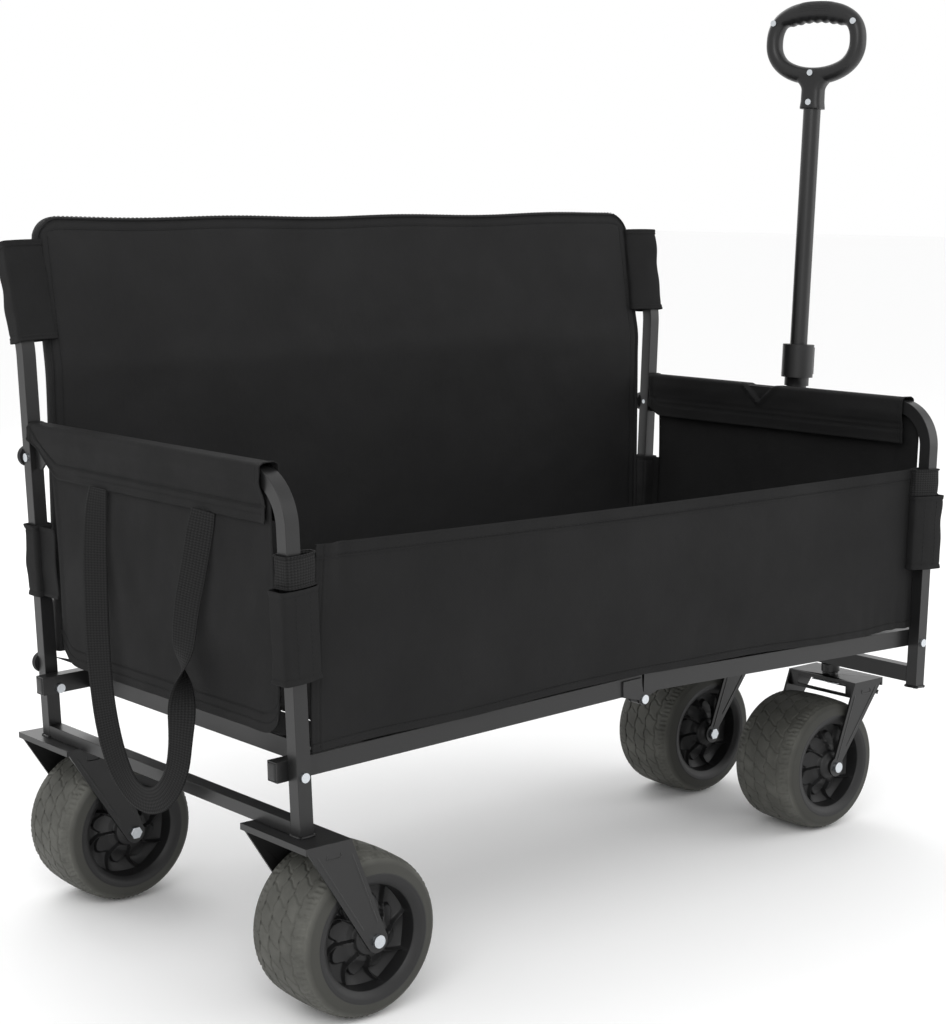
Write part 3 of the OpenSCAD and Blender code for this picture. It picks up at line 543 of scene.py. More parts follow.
def stitches(shape, line, lift, length=0.0042, gap=0.0016, radius=0.00042):
    """Sewn thread along a line: one small oval bead for each stitch, lying on the cloth."""
    along = np.concatenate([[0], np.cumsum(np.linalg.norm(np.diff(line, axis=0), axis=1))])
    starts = np.arange(gap, along[-1] - length, length + gap)
    shares = np.linspace(0.0, 1.0, 5)
    at = starts[:, None] + shares[None] * length
    middle = np.stack([np.interp(at, along, line[:, k]) for k in range(3)], -1)
    direction = unit(middle[:, -1:] - middle[:, :1])
    normal = unit(np.broadcast_to(lift, direction.shape))
    across = np.cross(direction, normal)
    girth = (radius * np.array([0.35, 0.9, 1.0, 0.9, 0.35]))[None, :, None, None]
    turn = np.linspace(0, 2 * math.pi, 5, endpoint=False)
    ring = np.cos(turn)[:, None] * across[:, :, None] + np.sin(turn)[:, None] * normal[:, :, None]
    points = middle[:, :, None] + girth * ring
    n = len(starts)
    j, k = np.meshgrid(np.arange(4), np.arange(5), indexing="ij")
    local = np.stack([j * 5 + k, j * 5 + (k + 1) % 5, (j + 1) * 5 + (k + 1) % 5, (j + 1) * 5 + k],
                     -1).reshape(-1, 4)
    faces = (np.arange(n)[:, None, None] * 25 + local[None]).reshape(-1, 4)
    shape.add(points, faces, np.zeros((len(faces) * 4, 2)))


# ---------------------------------------------------------------- steel and other CAD parts with softened edges


def softened(node, width, segments=2, shortest=0.0026, sharp=35.0):
    """A copy of a CAD node, its flat faces joined up, with its longer sharp edges rounded."""
    mesh = frame["nodes"][node].data.copy()
    work = bmesh.new()
    work.from_mesh(mesh)
    bmesh.ops.remove_doubles(work, verts=work.verts, dist=2e-6)
    bmesh.ops.dissolve_limit(work, angle_limit=math.radians(0.6), verts=work.verts, edges=work.edges)
    layers = work.edges.layers.float
    weight = layers.get("bevel_weight_edge") or layers.new("bevel_weight_edge")
    for edge in work.edges:
        turned = len(edge.link_faces) == 2 and edge.calc_face_angle(0.0) > math.radians(sharp)
        edge[weight] = 1.0 if turned and edge.calc_length() > shortest else 0.0
    work.to_mesh(mesh)
    work.free()
    mesh.polygons.foreach_set("use_smooth", np.ones(len(mesh.polygons), bool))
    mesh.set_sharp_from_angle(angle=math.radians(sharp))
    made = piece(node + "_finished", mesh, SLOT_OF[node], BODY_OF[node], node)
    bevel = made.modifiers.new("edges", "BEVEL")
    bevel.limit_method = "WEIGHT"
    bevel.width = width
    bevel.segments = segments
    bevel.harden_normals = True
    bevel.use_clamp_overlap = True
    return made

# ---------------------------------------------------------------- camera, strap


def make_camera():
    """The camera, at the height and distance of someone who stands off the wagon's rear corner."""
    data = bpy.data.cameras.new("camera")
    camera = bpy.data.objects.new("camera", data)
    bpy.context.scene.collection.objects.link(camera)
    camera.location = (MIDDLE[0] - 1.6936, -1.9625, 0.8635)
    camera.rotation_euler = Euler((math.radians(81.23), math.radians(CAMERA_ROLL), math.radians(-39.96)))
    data.lens = 73.43
    data.sensor_width = 36.0
    data.clip_start, data.clip_end = 0.05, 60.0
    bpy.context.scene.camera = camera


CAMERA_ROLL = 0.0

# Outwards from the rear bolts, across, height over them in metres, turn of the webbing in degrees
STRAP_ROUTE = [
    (0.022, 0.093, 0.261, 10), (0.025, 0.094, 0.234, 25), (0.027, 0.095, 0.189, 35),
    (0.028, 0.094, 0.139, 35),
    (0.029, 0.091, 0.089, 35), (0.030, 0.084, 0.039, 30), (0.031, 0.070, -0.009, 30),
    (0.033, 0.046, -0.047, 25),
    (0.035, 0.012, -0.070, 10), (0.035, -0.024, -0.074, 0), (0.034, -0.056, -0.059, -10),
    (0.032, -0.078, -0.026, -20),
    (0.031, -0.086, 0.019, -35), (0.030, -0.088, 0.064, -100), (0.029, -0.090, 0.107, -190),
    (0.028, -0.098, 0.154, -210),
    (0.027, -0.112, 0.199, -215), (0.025, -0.122, 0.239, -215), (0.022, -0.125, 0.261, -200)]
STRAP_WIDTH, STRAP_THICKNESS = 0.030, 0.0026


def make_strap():
    """Webbing strap: a flat section carried along its route and turned about it, its face waved by a
    little slack."""
    route = np.array(STRAP_ROUTE)
    line = smooth_line(route, 12)
    middle = vec(REAR[0] - line[:, 0], line[:, 1], REAR[2] + line[:, 2])
    turn = np.radians(line[:, 3])[:, None]
    along = unit(np.gradient(middle, axis=0))
    side = unit(np.cross(along, np.broadcast_to([-1.0, 0.0, 0.0], along.shape)))
    across = side * np.cos(turn) + np.cross(side, along) * np.sin(turn)
    lift = np.cross(along, across)
    section = round_section(STRAP_WIDTH / 2, STRAP_THICKNESS / 2, 28, 5.0)
    section[:, 1] *= 1 - 0.22 * np.cos(section[:, 0] / STRAP_WIDTH * 12 * math.pi)
    shape = Shape()
    rings = swept(middle, section, across, lift)
    shape.grid(rings, round_columns=True)
    shape.disc(rings[0])
    shape.disc(rings[-1])
    strap = piece("carry_strap", shape.mesh("carry_strap", 60.0), "webbing", "rear_frame",
                  "rear_carry_strap")
    seams = Shape()
    for end, turn_side in ((slice(0, 9), 1.0), (slice(-9, None), -1.0)):
        for share in (-0.38, 0.38):
            stitches(seams,
                     middle[end] + across[end] * STRAP_WIDTH * share + lift[end] * 0.0014 * turn_side,
                     lift[end][0])
    piece("strap_stitching", seams.mesh("strap_stitching"), "webbing", "rear_frame")


# ---------------------------------------------------------------- wheels


def lathe(profile, count, warp=None):
    """A profile of (radius, across) pairs turned about Y; warp(angle, radius, across) may move both."""
    angle = np.linspace(0, 2 * math.pi, count, endpoint=False)[:, None]
    r, a = np.broadcast_to(profile[:, 0], (count, len(profile))), np.broadcast_to(profile[:, 1],
            (count, len(profile)))
    if warp:
        r, a = warp(angle, r, a)
    return vec(r * np.cos(angle), a, r * np.sin(angle))


def tyre_profile(radius, width, seat):
    """Half-superellipse crown over straight sidewalls that tuck in to the bead, then back through the
    rim seat."""
    t = np.linspace(-1, 1, 131)
    across = np.sign(t) * (np.abs(t) ** 1.12) * width / 2
    crown = radius - 0.0035 * (np.abs(across) / (width / 2)) ** 2
    shoulder = np.clip((np.abs(across) - (width / 2 - 0.016)) / 0.016, 0, 1)
    crown = crown - 0.0155 * (1 - np.sqrt(np.maximum(1 - shoulder**2, 0)))
    wall = np.linspace(0, 1, 12)[1:]
    wall_r = (radius - 0.019) * (1 - wall) + (seat + 0.0005) * wall
    wall_a = width / 2 - 0.0045 * wall**1.6 + 0.0005 * np.sin(wall * math.pi)
    left = np.stack([wall_r[::-1], -wall_a[::-1]], -1)
    right = np.stack([wall_r, wall_a], -1)
    inner = np.stack([np.full(9, seat), np.linspace(right[-1, 1], left[0, 1], 11)[1:-1]], -1)
    return np.concatenate([left, np.stack([crown, across], -1), right, inner])


def tread(angle, r, a, radius, width, depth):
    """Tread pattern: four gently waved grooves, thin staggered cuts between them, and teeth along both
    shoulders."""
    wave = 0.0011 * np.sin(angle * 26)
    rings = sum(groove(a - at - wave * side, 0.0030) for at,
                side in ((-0.0285, 1), (-0.0098, -1), (0.0098, 1), (0.0285, -1)))
    lane = np.round(a / 0.0192)
    pitch = 2 * math.pi / 25
    lean = (a - lane * 0.0192) * 0.30 + 0.0016 * np.sin((a - lane * 0.0192) * 330)
    off = (angle + (lane % 2) * pitch / 2 + lane * 0.02 + lean / radius) % pitch
    cuts = groove((off - pitch / 2) * radius, 0.0034) * (np.abs(a) < 0.0290) * 0.8
    tooth = 2 * math.pi / 84
    slant = (angle + np.abs(a) * 2.2) % tooth
    teeth = groove((slant - tooth / 2) * radius, 0.0050) * groove(np.abs(a) - 0.0405, 0.0120) * 0.75
    long_pitch = 2 * math.pi / 25
    zig = (angle + 0.010 * np.sin(np.abs(a) * 700) + np.sign(a) * 0.06) % long_pitch
    notches = groove((zig - long_pitch / 2) * radius, 0.0036) * step(np.abs(a), 0.0290,
            0.0300) * (1 - step(np.abs(a), 0.041, 0.044))
    shoulder_ring = groove(np.abs(a) - 0.0445 - 0.0006 * np.sin(angle * 42), 0.0024) * 0.35
    on_tread = step(r, radius - 0.0165, radius - 0.0105)
    bead = groove(r - (radius - 0.0145), 0.0026) * (np.abs(a) > width * 0.46)
    cut = np.clip(rings + cuts + teeth + notches * 0.8 + shoulder_ring, 0, 1.1) * on_tread * depth
    return r - cut, a - np.sign(a) * bead * 0.0011


def make_wheel(name, joint, body, wheels):
    """One wheel: its tyre with a cut tread and its rim with ribbed dishes."""
    centre = pivot(joint)
    shape = Shape()
    points = lathe(tyre_profile(wheels.radius, wheels.width, wheels.seat), 560,
                   lambda angle, r, a: tread(angle, r, a, wheels.radius, wheels.width, wheels.tread))
    shape.grid(points + centre, round_rows=True, round_columns=True)
    piece(name + "_tread", shape.mesh(name + "_tread", 50.0), "tyre", body, name + "_tyre")
    rim = Shape()
    points = lathe(rim_profile(wheels), 288, lambda angle, r, a: petals(angle, r, a, wheels))
    rim.grid(points + centre, round_rows=True, round_columns=True)
    piece(name + "_dished_rim", rim.mesh(name + "_dished_rim", 50.0), "rim_plastic", body, name + "_rim")


def rim_profile(wheels):
    """Closed outline of the rim: flange over the tyre, sloping lip, shallow dish, hub and bore, then the
    same mirrored."""
    seat, half = wheels.seat, wheels.width / 2
    flange = [(seat, half - 0.0120), (seat, half - 0.0040), (0.0700, half - 0.0030),
              (0.0713, half - 0.0018),
              (0.0708, half - 0.0004), (0.0694, half + 0.0002), (0.0676, half + 0.0001)]
    t = np.linspace(0, 1, 16)
    lip = [(0.0668 - 0.0098 * k, half - 0.0002 - 0.0052 * k**1.7) for k in t]
    t = np.linspace(0, 1, 12)[1:]
    wall = [(0.0570 - 0.0022 * k, half - 0.0054 - 0.0126 * k) for k in t]
    t = np.linspace(0, 1, 36)[1:]
    web = [(0.0548 - 0.0338 * k,
            half - 0.0180 - 0.0035 * math.sin(math.pi * min(1.0, k * 1.2)) + 0.0060 * k**3) for k in t]
    hub = [(0.0196, half - 0.0105), (0.0188, half - 0.0070), (0.0176, half - 0.0052),
           (0.0150, half - 0.0046),
           (0.0120, half - 0.0006), (0.0104, half + 0.0008), (0.0070, half + 0.0008),
           (0.0063, half + 0.0002)]
    side = np.array(flange + lip + wall + web + hub)
    return np.concatenate([side, side[::-1] * [1, -1]])


def petals(angle, r, a, wheels):
    """Ribs and hollow petals: thin raised spokes that bend as they leave the hub, a scooped hollow
    between each pair
    and a rounded step that sweeps across every petal."""
    share = np.clip((r - 0.0205) / 0.0345, 0, 1)
    turn = (angle + 0.30 * share**1.6 * np.sign(a)) * wheels.spokes / (2 * math.pi)
    phase = turn % 1.0
    on_web = step(r, 0.0195, 0.0225) * (1 - step(r, 0.0552, 0.0568)) * (np.abs(a) > 0.005)
    gap = np.minimum(phase, 1 - phase) * 2 * math.pi * r / wheels.spokes
    rib = (1 - step(gap, 0.0006, 0.0019)) * (0.0072 - 0.0030 * share)
    scoop = np.sin(math.pi * phase) ** 0.8 * 0.0042
    edge = 0.34 + 0.30 * np.sin(math.pi * np.clip(phase * 1.15, 0, 1)) + 0.10 * phase
    shelf = (1 - step(share, edge - 0.03, edge + 0.03)) * 0.0046 * np.sin(math.pi * phase) ** 0.35
    return r, a + np.sign(a) * (rib - scoop + shelf) * on_web


# ---------------------------------------------------------------- cloth


def hem(distance, width, rise=0.0007, seam=0.0009):
    """Rise of a folded hem: a doubled layer up to its seam, where the thread pulls the cloth in, and a
    rolled edge."""
    fold = (1 - step(distance, width * 0.92, width * 1.12)) * rise
    return fold - groove(distance - width * 0.86,
                         0.0030) * seam + np.exp(-((distance - 0.0012) / 0.0014) ** 2) * 0.0005


def rows_between(*parts):
    """Spacing of grid lines: each part is (start, end, step) in metres."""
    pieces = [np.linspace(a, b, max(2, int(round(abs(b - a) / gap)) + 1))[:-1] for a, b, gap in parts]
    return np.concatenate(pieces + [[parts[-1][1]]])


def tub_cloth(made):
    """Cloth that hangs between the two end frames and rides on the rear one: it gets its own copy of its mesh."""
    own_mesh(made)
    return made


def make_low_panel(cloth):
    """Slack side panel: a plane with a shallow belly, drawn-in corners, soft folds and hems on all four
    edges."""
    x0, x1 = REAR[0] + 0.0255, FRONT[0] - 0.0135
    low_z, top = 0.2895, 0.506
    u = rows_between((x0, x0 + 0.03, 0.0016), (x0 + 0.03, x1 - 0.03, 0.0042), (x1 - 0.03, x1, 0.0016))
    v = rows_between((0, 0.024, 0.0012), (0.024, 0.19, 0.0040), (0.19, 0.216, 0.0012)) / 0.216
    x, drop = u[None, :], v[:, None]
    share = (x - x0) / (x1 - x0)
    peak = 0.0136 * (1 - np.abs(x - MIDDLE[0]) / 0.5)
    high = top + 0.002 - 0.005 * share - 0.0026 * np.sin(math.pi * share) ** 1.3
    low = low_z + peak + 0.0016 * np.sin(share
                                         * 34) * np.exp(-((share - 0.94)
                                                          / 0.05) ** 2) + 0.0012 * np.sin(share * 21)
    z = high + (low - high) * drop
    from_top, from_low = high - z, z - low
    from_side = np.minimum(x - x0, x1 - x)
    belly = cloth.belly * np.sin(math.pi * share) ** 0.6 * np.sin(math.pi
            * np.clip(drop * 1.04, 0, 1)) ** 0.8
    soft = folds(x, z, 5, 1.5, 9.0, lean=0.35) * 0.0011 + folds(x, z, 6, 7.0, 26.0, lean=-0.5) * 0.0003
    pinch = np.exp(-((x - x0 - 0.018) / 0.010) ** 2 - (from_top / 0.035) ** 2) * 0.0034
    pinch = pinch - np.exp(-((x - x0 - 0.034) / 0.009) ** 2 - (from_top / 0.045) ** 2) * 0.0028
    drag = np.sin((share - 0.955) * 260) * np.exp(-((x1 - x) / 0.05)) * np.exp(-(from_low / 0.05)) * 0.0026
    rise = hem(from_top, 0.016, 0.0010) + hem(from_low, 0.010) + hem(from_side, 0.011)
    x = x - (1 - share) ** 40 * 0.0075 * step(drop, 0.08, 0.5) + share**40 * 0.0055 * step(drop, 0.08, 0.4)
    y = -0.2565 - belly - rise - soft * step(from_top, 0, 0.03) - pinch - drag
    edge_in = step(from_side, 0.0, 0.012)
    y = y + (1 - edge_in) * 0.0005
    surface = vec(x + 0 * z, y, z)
    shape = Shape()
    shape.grid(surface)
    panel = piece("low_side_cloth", shape.mesh("low_side_cloth", outward=False), "oxford_cloth",
                  "rear_frame", "low_side_panel")
    thicken(panel, cloth.thickness)
    tub_cloth(panel)
    thread = Shape()
    column = np.argmin(np.abs(v * 0.216 - 0.0138))
    face = np.array([0.0, -1.0, 0.0])
    stitches(thread, surface[column] + face * 0.0008, face)
    stitches(thread, surface[np.argmin(np.abs(v * 0.216 - (0.216 - 0.0086)))] + face * 0.0008, face)
    for at in (x0 + 0.0095, x1 - 0.0095):
        stitches(thread, surface[:, np.argmin(np.abs(u - at))] + face * 0.0008, face)
    seam = piece("low_side_stitching", thread.mesh("low_side_stitching"), "webbing", "rear_frame")
    tub_cloth(seam)


def backrest_middle(z):
    """Across-position of the backrest's middle plane: upright, then leaning back above a soft bend."""
    bend = 0.648
    lean = (0.830 - 0.668) * math.tan(BACK_LEAN) / (0.830 - bend)
    over = z - bend
    return 0.2545 + 0.010 + lean * 0.5 * (over + np.sqrt(over**2 + 0.02**2)) - lean * 0.0005


def make_backrest(cloth):
    """Padded backrest: a rounded board of wadding, both faces crowned and quilted at its edges, with a
    boxed band."""
    half, low, top, corner = 0.4862, 0.3106, 0.8305, 0.032
    centre = MIDDLE[0]
    u = rows_between((-half, -half + 0.05, 0.0022), (-half + 0.05, half - 0.05, 0.0065),
                     (half - 0.05, half, 0.0022))
    v = rows_between((0, 0.03, 0.0018), (0.03, 0.49, 0.0065), (0.49, 0.52, 0.0018)) / 0.52
    x, share = u[None, :], v[:, None]
    beyond = np.clip(np.abs(x) - (half - corner), 0, corner)
    round_off = corner - np.sqrt(np.maximum(corner**2 - beyond**2, 0))
    high = top - round_off - 0.002 * np.cos(x / half * math.pi / 2) + 0.0012 * np.sin(x * 23)
    z = low + (high - low) * share
    x = x + 0 * z
    inset = np.minimum(np.minimum(z - low, high - z), half - np.abs(x))
    pad = cloth.pad / 2 + 0.0045 * step(inset, 0.004, 0.09) - 0.0012
    pipe = np.exp(-((inset - 0.0016) / 0.0016) ** 2) * 0.0013 - groove(inset - 0.0046, 0.0044) * 0.0016
    pipe = pipe - groove(inset - 0.0145, 0.0050) * 0.0008
    bow = folds(x, z, 21, 1.2, 6.0, lean=0.2) * 0.0014 + folds(x, z, 22, 6.0, 22.0, lean=1.2) * 0.0004
    puckers = np.sin(x * 420) * np.exp(-(((high - z) - 0.008) / 0.006) ** 2) * 0.00025
    drawn = -0.006 * np.exp(-((z - 0.655) / 0.02) ** 2) * 0.3
    settle = step(inset, 0.01, 0.06)
    middle = backrest_middle(z)
    front = vec(centre + x, middle - pad - pipe - bow * settle - puckers + drawn, z)
    back = vec(centre + x, middle + pad + pipe - bow * settle * 0.5 + puckers, z)
    shape = Shape()
    shape.grid(front)
    shape.grid(back)
    for pick in (lambda g: g[0], lambda g: g[-1], lambda g: g[:, 0], lambda g: g[:, -1]):
        a, b = pick(front), pick(back)
        t = np.linspace(0, 1, 7)[:, None, None]
        bulge = np.sin(math.pi * t) * 0.0012
        away = unit((a + b) / 2 - np.array([centre, 0.27, 0.57])) * [1, 0, 1]
        shape.grid(a[None] * (1 - t) + b[None] * t + away[None] * bulge)
    back_rest = piece("padded_backrest", shape.mesh("padded_backrest", 55.0), "oxford_cloth", "rear_frame",
                      "backrest")
    # painted light: the backrest takes the lighter copy of the black cloth, for the light its leaning face misses
    back_rest.data.materials[0] = FINISH["backrest_cloth"]
    tub_cloth(back_rest)
    thread = Shape()
    rows = {"top": np.argmin(np.abs((1 - v) * 0.52 - 0.0146)), "low": np.argmin(np.abs(v * 0.52 - 0.0146))}
    for grid, face in ((front, np.array([0, -1.0, 0])), (back, np.array([0, 1.0, 0]))):
        for row in rows.values():
            stitches(thread, grid[row, 9:-9] + face * 0.0004, face)
        for at in (-half + 0.0146, half - 0.0146):
            stitches(thread, grid[8:-8, np.argmin(np.abs(u - at))] + face * 0.0004, face)
    top_line = (front[-1] * 0.84 + back[-1] * 0.16)[6:-6] + [0, 0, 0.0010]
    stitches(thread, top_line, np.array([0, 0, 1.0]), 0.0042, 0.0018, 0.0004)
    seam = piece("backrest_stitching", thread.mesh("backrest_stitching"), "webbing", "rear_frame")
    tub_cloth(seam)


def sleeve_section(out_drop, in_drop, half, corner=0.004):
    """Half-open outline over a rail: up the outer face, round two corners and down the inner face."""
    bend = np.linspace(0, math.pi / 2, 7)
    flat = half - corner
    parts = [np.stack([np.full(26, half), np.linspace(-out_drop, flat, 27)[:-1]], -1),
             np.stack([flat + corner * np.cos(bend), flat + corner * np.sin(bend)], -1),
             np.stack([np.linspace(flat, -flat, 5)[1:-1], np.full(3, half)], -1),
             np.stack([-flat - corner * np.sin(bend), flat + corner * np.cos(bend)], -1),
             np.stack([np.full(22, -half), np.linspace(flat, -in_drop, 23)[1:]], -1)]
    return np.concatenate(parts)


def rail_cover(y, section, edge, seed, outer_seam, inner_seam):
    """Cloth over a top rail: its section carried straight along the rail, the lower edge cut by edge(y),
    with soft
    lengthwise folds and one seam on each face."""
    run, cut = y[:, None], edge(y)[:, None]
    out, height = section[None, :, 0] + 0 * run, section[None, :, 1] + 0 * run
    height = np.where(height < 0, height * cut, height)
    slack = folds(height, run * 0.25, seed, 14.0, 34.0, lean=0.0, spread=0.25) * 0.0012
    slack = slack + folds(run, height, seed + 1, 8.0, 30.0, lean=1.1, spread=0.5) * 0.0007
    slack = slack * step(-height, -0.004, 0.012)
    from_edge = height - height.min(axis=1, keepdims=True)
    outer = out > 0
    seam = np.where(outer, outer_seam, inner_seam)
    fold = (1 - step(from_edge, seam * 0.94, seam * 1.06)) * 0.0006 - groove(from_edge - seam,
            0.0034) * 0.0011
    side_in = np.minimum(y - y.min(), y.max() - y)[:, None]
    thick = fold + slack + hem(side_in, 0.009, 0.0009) + hem(from_edge, 0.004, 0.0004, 0.0004)
    settle = 0.0052 * step(-height, 0.006, 0.046)
    flat = np.abs(out) > 0.0075
    out = out + np.sign(out) * flat * (thick - settle)
    height = height + np.where(flat, 0, np.maximum(thick, 0))
    return out, height, run


def rear_cut(y):
    """Lower edge of the rear cover: full length, cut away on a slant next to the tall post."""
    return 1 - 0.90 * step(y, 0.186, 0.262)


def front_cut(y):
    """Lower edge of the front cover: full length almost to the tall post."""
    return 1 - 0.35 * step(y, 0.225, 0.262)


def make_end_cloth(sign, cloth):
    """One end: the panel inside the frame and the cover over its top rail."""
    name, body = END_NAME[sign], END_BODY[sign]
    y0, y1 = -0.2410, 0.2130 if sign < 0 else 0.2425
    y = rows_between((y0, y1, 0.0042))
    z = rows_between((0.0365, 0.062, 0.0013), (0.062, 0.30, 0.0042))
    across, up = y[:, None], z[None, :]
    low_corner = 0.034
    middle, reach = (y0 + y1) / 2, (y1 - y0) / 2
    beyond = np.clip(np.abs(across - middle) - (reach - low_corner), 0, low_corner)
    lift = low_corner - np.sqrt(np.maximum(low_corner**2 - beyond**2, 0))
    up = 0.0365 + lift + (up - 0.0365) * (0.2635 - lift) / 0.2635
    side_in = np.minimum(across - y0, y1 - across)
    edge_pull = 0.006 * np.sin(math.pi * np.clip((up - 0.036) / 0.26, 0, 1)) * step(across, 0.12, y1)
    soft = folds(across, up, 31 + sign, 2.0, 10.0, lean=1.3) * 0.0018 + folds(across, up, 35 + sign, 8.0,
            30.0) * 0.0005
    belly = 0.005 * np.sin(math.pi * np.clip((across - y0) / (y1 - y0), 0, 1)) * np.sin(math.pi
            * np.clip((up - 0.036) / 0.27, 0, 1))
    from_low = up - 0.0365 - lift
    rise = hem(from_low, 0.012) - groove(from_low - 0.021, 0.003) * 0.0007 + hem(side_in, 0.009)
    out = 0.0035 + soft * step(side_in, 0, 0.04) + belly * 0.3 + rise
    panel_grid = at_end(sign, out, across + 0 * up - edge_pull, up)
    shape = Shape()
    shape.grid(panel_grid)
    panel = piece(name + "_end_cloth", shape.mesh(name + "_end_cloth", outward=False), "oxford_cloth",
                  body, name + "_end_panel")
    thicken(panel, cloth.thickness)
    section = sleeve_section(0.0505, 0.0500, 0.0106)
    cover, thread = Shape(), Shape()
    face = at_end(sign, 1.0, 0.0, 0.0) - at_end(sign, 0.0, 0.0, 0.0)
    low = -0.2340 if sign < 0 else -0.2240
    y = rows_between((low, low + 0.010, 0.0011), (low + 0.010, 0.2360, 0.0034), (0.2360, 0.2500, 0.0014))
    out, height, run = rail_cover(y, section, rear_cut if sign < 0 else front_cut, 41 + sign, 0.0170,
                                  0.0180)
    if sign > 0:
        notch = 0.030
        away = np.abs(run - notch)
        depth = height + 0.0165 - away * 0.85
        lips = np.exp(-((depth / 0.0032) ** 2)) * 0.0036 * (away < 0.034)
        pressed = step(depth, 0.002, 0.007) * step(-away, -0.034, -0.030) * 0.0030
        out = out + (pressed * 0.8 - lips) * step(-out, 0.0050, 0.0095)
        height = height - pressed * 0.6 * step(height, -0.002, 0.006)
        second = groove(height + 0.0235, 0.0034) * 0.0010 * (out < 0)
        out = out + second
    grid = at_end(sign, out, run + 0 * out, RAIL_UP + height)
    cover.grid(grid)
    for column in (int(np.argmin(np.abs(section[:26, 1] + 0.0505 - 0.0150))), 4):
        stitches(thread, grid[4:-34, column] + face * 0.0008, face)
    inside = len(section) - 1
    stitches(thread, grid[4:-20, inside - 7] - face * 0.0008, -face)
    sleeve = piece(name + "_rail_cover", cover.mesh(name + "_rail_cover", 60.0, outward=False),
                   "oxford_cloth", body, name + "_rail_sleeve")
    thicken(sleeve, cloth.thickness)
    stitches(thread, panel_grid[6:-6, np.argmin(np.abs(z - 0.0468))] + face * 0.0009, face)
    stitches(thread, panel_grid[6:-6, np.argmin(np.abs(z - 0.0555))] + face * 0.0009, face)
    piece(name + "_end_stitching", thread.mesh(name + "_end_stitching"), "webbing", body)


def wrap(at, half_out, half_across, low, high, reach, seed, rise=0.0004, hems=0.007, count=64):
    """A cloth band round a post: a rounded square ring, one side drawn out by reach, rows from low to
    high."""
    ring = round_section(half_out, half_across, count, 7.0)
    rows = rows_between((low, low + 0.008, 0.0010), (low + 0.008, high - 0.008, 0.0032),
                        (high - 0.008, high, 0.0010))[:, None]
    out, across = ring[None, :, 0] + 0 * rows, ring[None, :, 1] + 0 * rows
    soft = folds(rows, np.arctan2(across, out) * 0.012, seed, 10.0, 40.0, lean=0.4) * 0.0008
    away = hem(np.minimum(rows - low, high - rows), hems, 0.0006) + soft + rise
    long = np.clip(-out / half_out, 0, 1)
    out = out * (1 + away / half_out) - reach * long**3
    across = across * (1 + away / half_across) * (1 - 0.45 * long**3 * (reach > 0))
    return at(out, across, rows)


def make_tabs(sign):
    """The tabs and bands that hold the tub to its posts, and the backrest's sleeves."""
    name, body = END_NAME[sign], END_BODY[sign]
    tabs, band, thread = Shape(), Shape(), Shape()

    def low_post(out, across, up):
        return at_end(sign, out, across - HALF_W, up)

    def pocket(out, across, up):
        return at_end(sign, out + 0.0042, across - HALF_W - 0.0012, up)

    def high_post(out, across, up):
        return at_end(sign, out, across + HALF_W, up)

    def up_of(z):
        return (z - REAR[2]) / math.cos(SPLAY)

    tab_parts = [(pocket, 0.0150, 0.0125, up_of(0.3705), up_of(0.467), 0.018, 51),
                 (high_post, 0.0118, 0.0128, up_of(0.383), up_of(0.469), 0.0, 52)]
    for at, a, b, low, high, reach, seed in tab_parts:
        grid = wrap(at, a, b, low, high, reach, seed)
        tabs.grid(grid, round_columns=True)
    flap_y = np.linspace(-0.0100, -0.0480, 16)[:, None]
    flap_up = rows_between((up_of(0.384), up_of(0.468), 0.003))[None, :]
    flap_out = 0.0052 + 0.0006 * np.sin(flap_up
                                        * 90) + hem(np.minimum(flap_up - up_of(0.384),
                                                up_of(0.468) - flap_up), 0.007)
    tabs.grid(high_post(flap_out + 0 * flap_y, flap_y + 0 * flap_up, flap_up + 0 * flap_y))
    webbing = wrap(low_post, 0.0106, 0.0106, up_of(0.4675), up_of(0.502), 0.017, 53, 0.0006, 0.003)
    band.grid(webbing, round_columns=True)
    for turn in (16, 20, 44, 48):
        line = wrap(pocket, 0.0150, 0.0125, up_of(0.3705), up_of(0.467), 0.018, 51)[3:-3, turn]
        stitches(thread, line - [0, 0.0006, 0], np.array([0, -1.0, 0]))
    made = piece(name + "_post_tabs", tabs.mesh(name + "_post_tabs", 60.0, outward=False), "oxford_cloth",
                 body, name + "_corner_tabs")
    thicken(made, 0.0012)
    made = piece(name + "_post_band", band.mesh(name + "_post_band", 60.0, outward=False), "webbing", body)
    thicken(made, 0.0016)
    piece(name + "_tab_stitching", thread.mesh(name + "_tab_stitching"), "webbing", body)

    def leaning(out, across, up):
        turned = HALF_W + LEAN_R - (LEAN_R - across) * math.cos(BACK_LEAN) + up * math.sin(BACK_LEAN)
        return at_end(sign, out, turned,
                      LEAN_UP + (LEAN_R - across) * math.sin(BACK_LEAN) + up * math.cos(BACK_LEAN))

    sleeve = Shape()
    grid = wrap(leaning, 0.0118, 0.0124, 0.001, 0.1195, 0.028, 55, 0.0006, 0.009, 72)
    sleeve.grid(grid, round_columns=True)
    sleeve.disc(grid[-1])
    made = piece("backrest_%s_pocket" % name,
                 sleeve.mesh("backrest_%s_pocket" % name, 60.0, outward=False), "oxford_cloth",
                 body, "backrest_%s_sleeve" % name)
    thicken(made, 0.0012)
    thread = Shape()
    for row in (5, -6):
        ring = grid[row]
        for part, lift in ((ring[40:68], -1), (ring[4:32], 1)):
            stitches(thread, part + [0, 0.0007 * lift, 0], np.array([0, float(lift), 0]))
    piece("backrest_%s_stitching" % name, thread.mesh("backrest_%s_stitching" % name), "webbing", body)


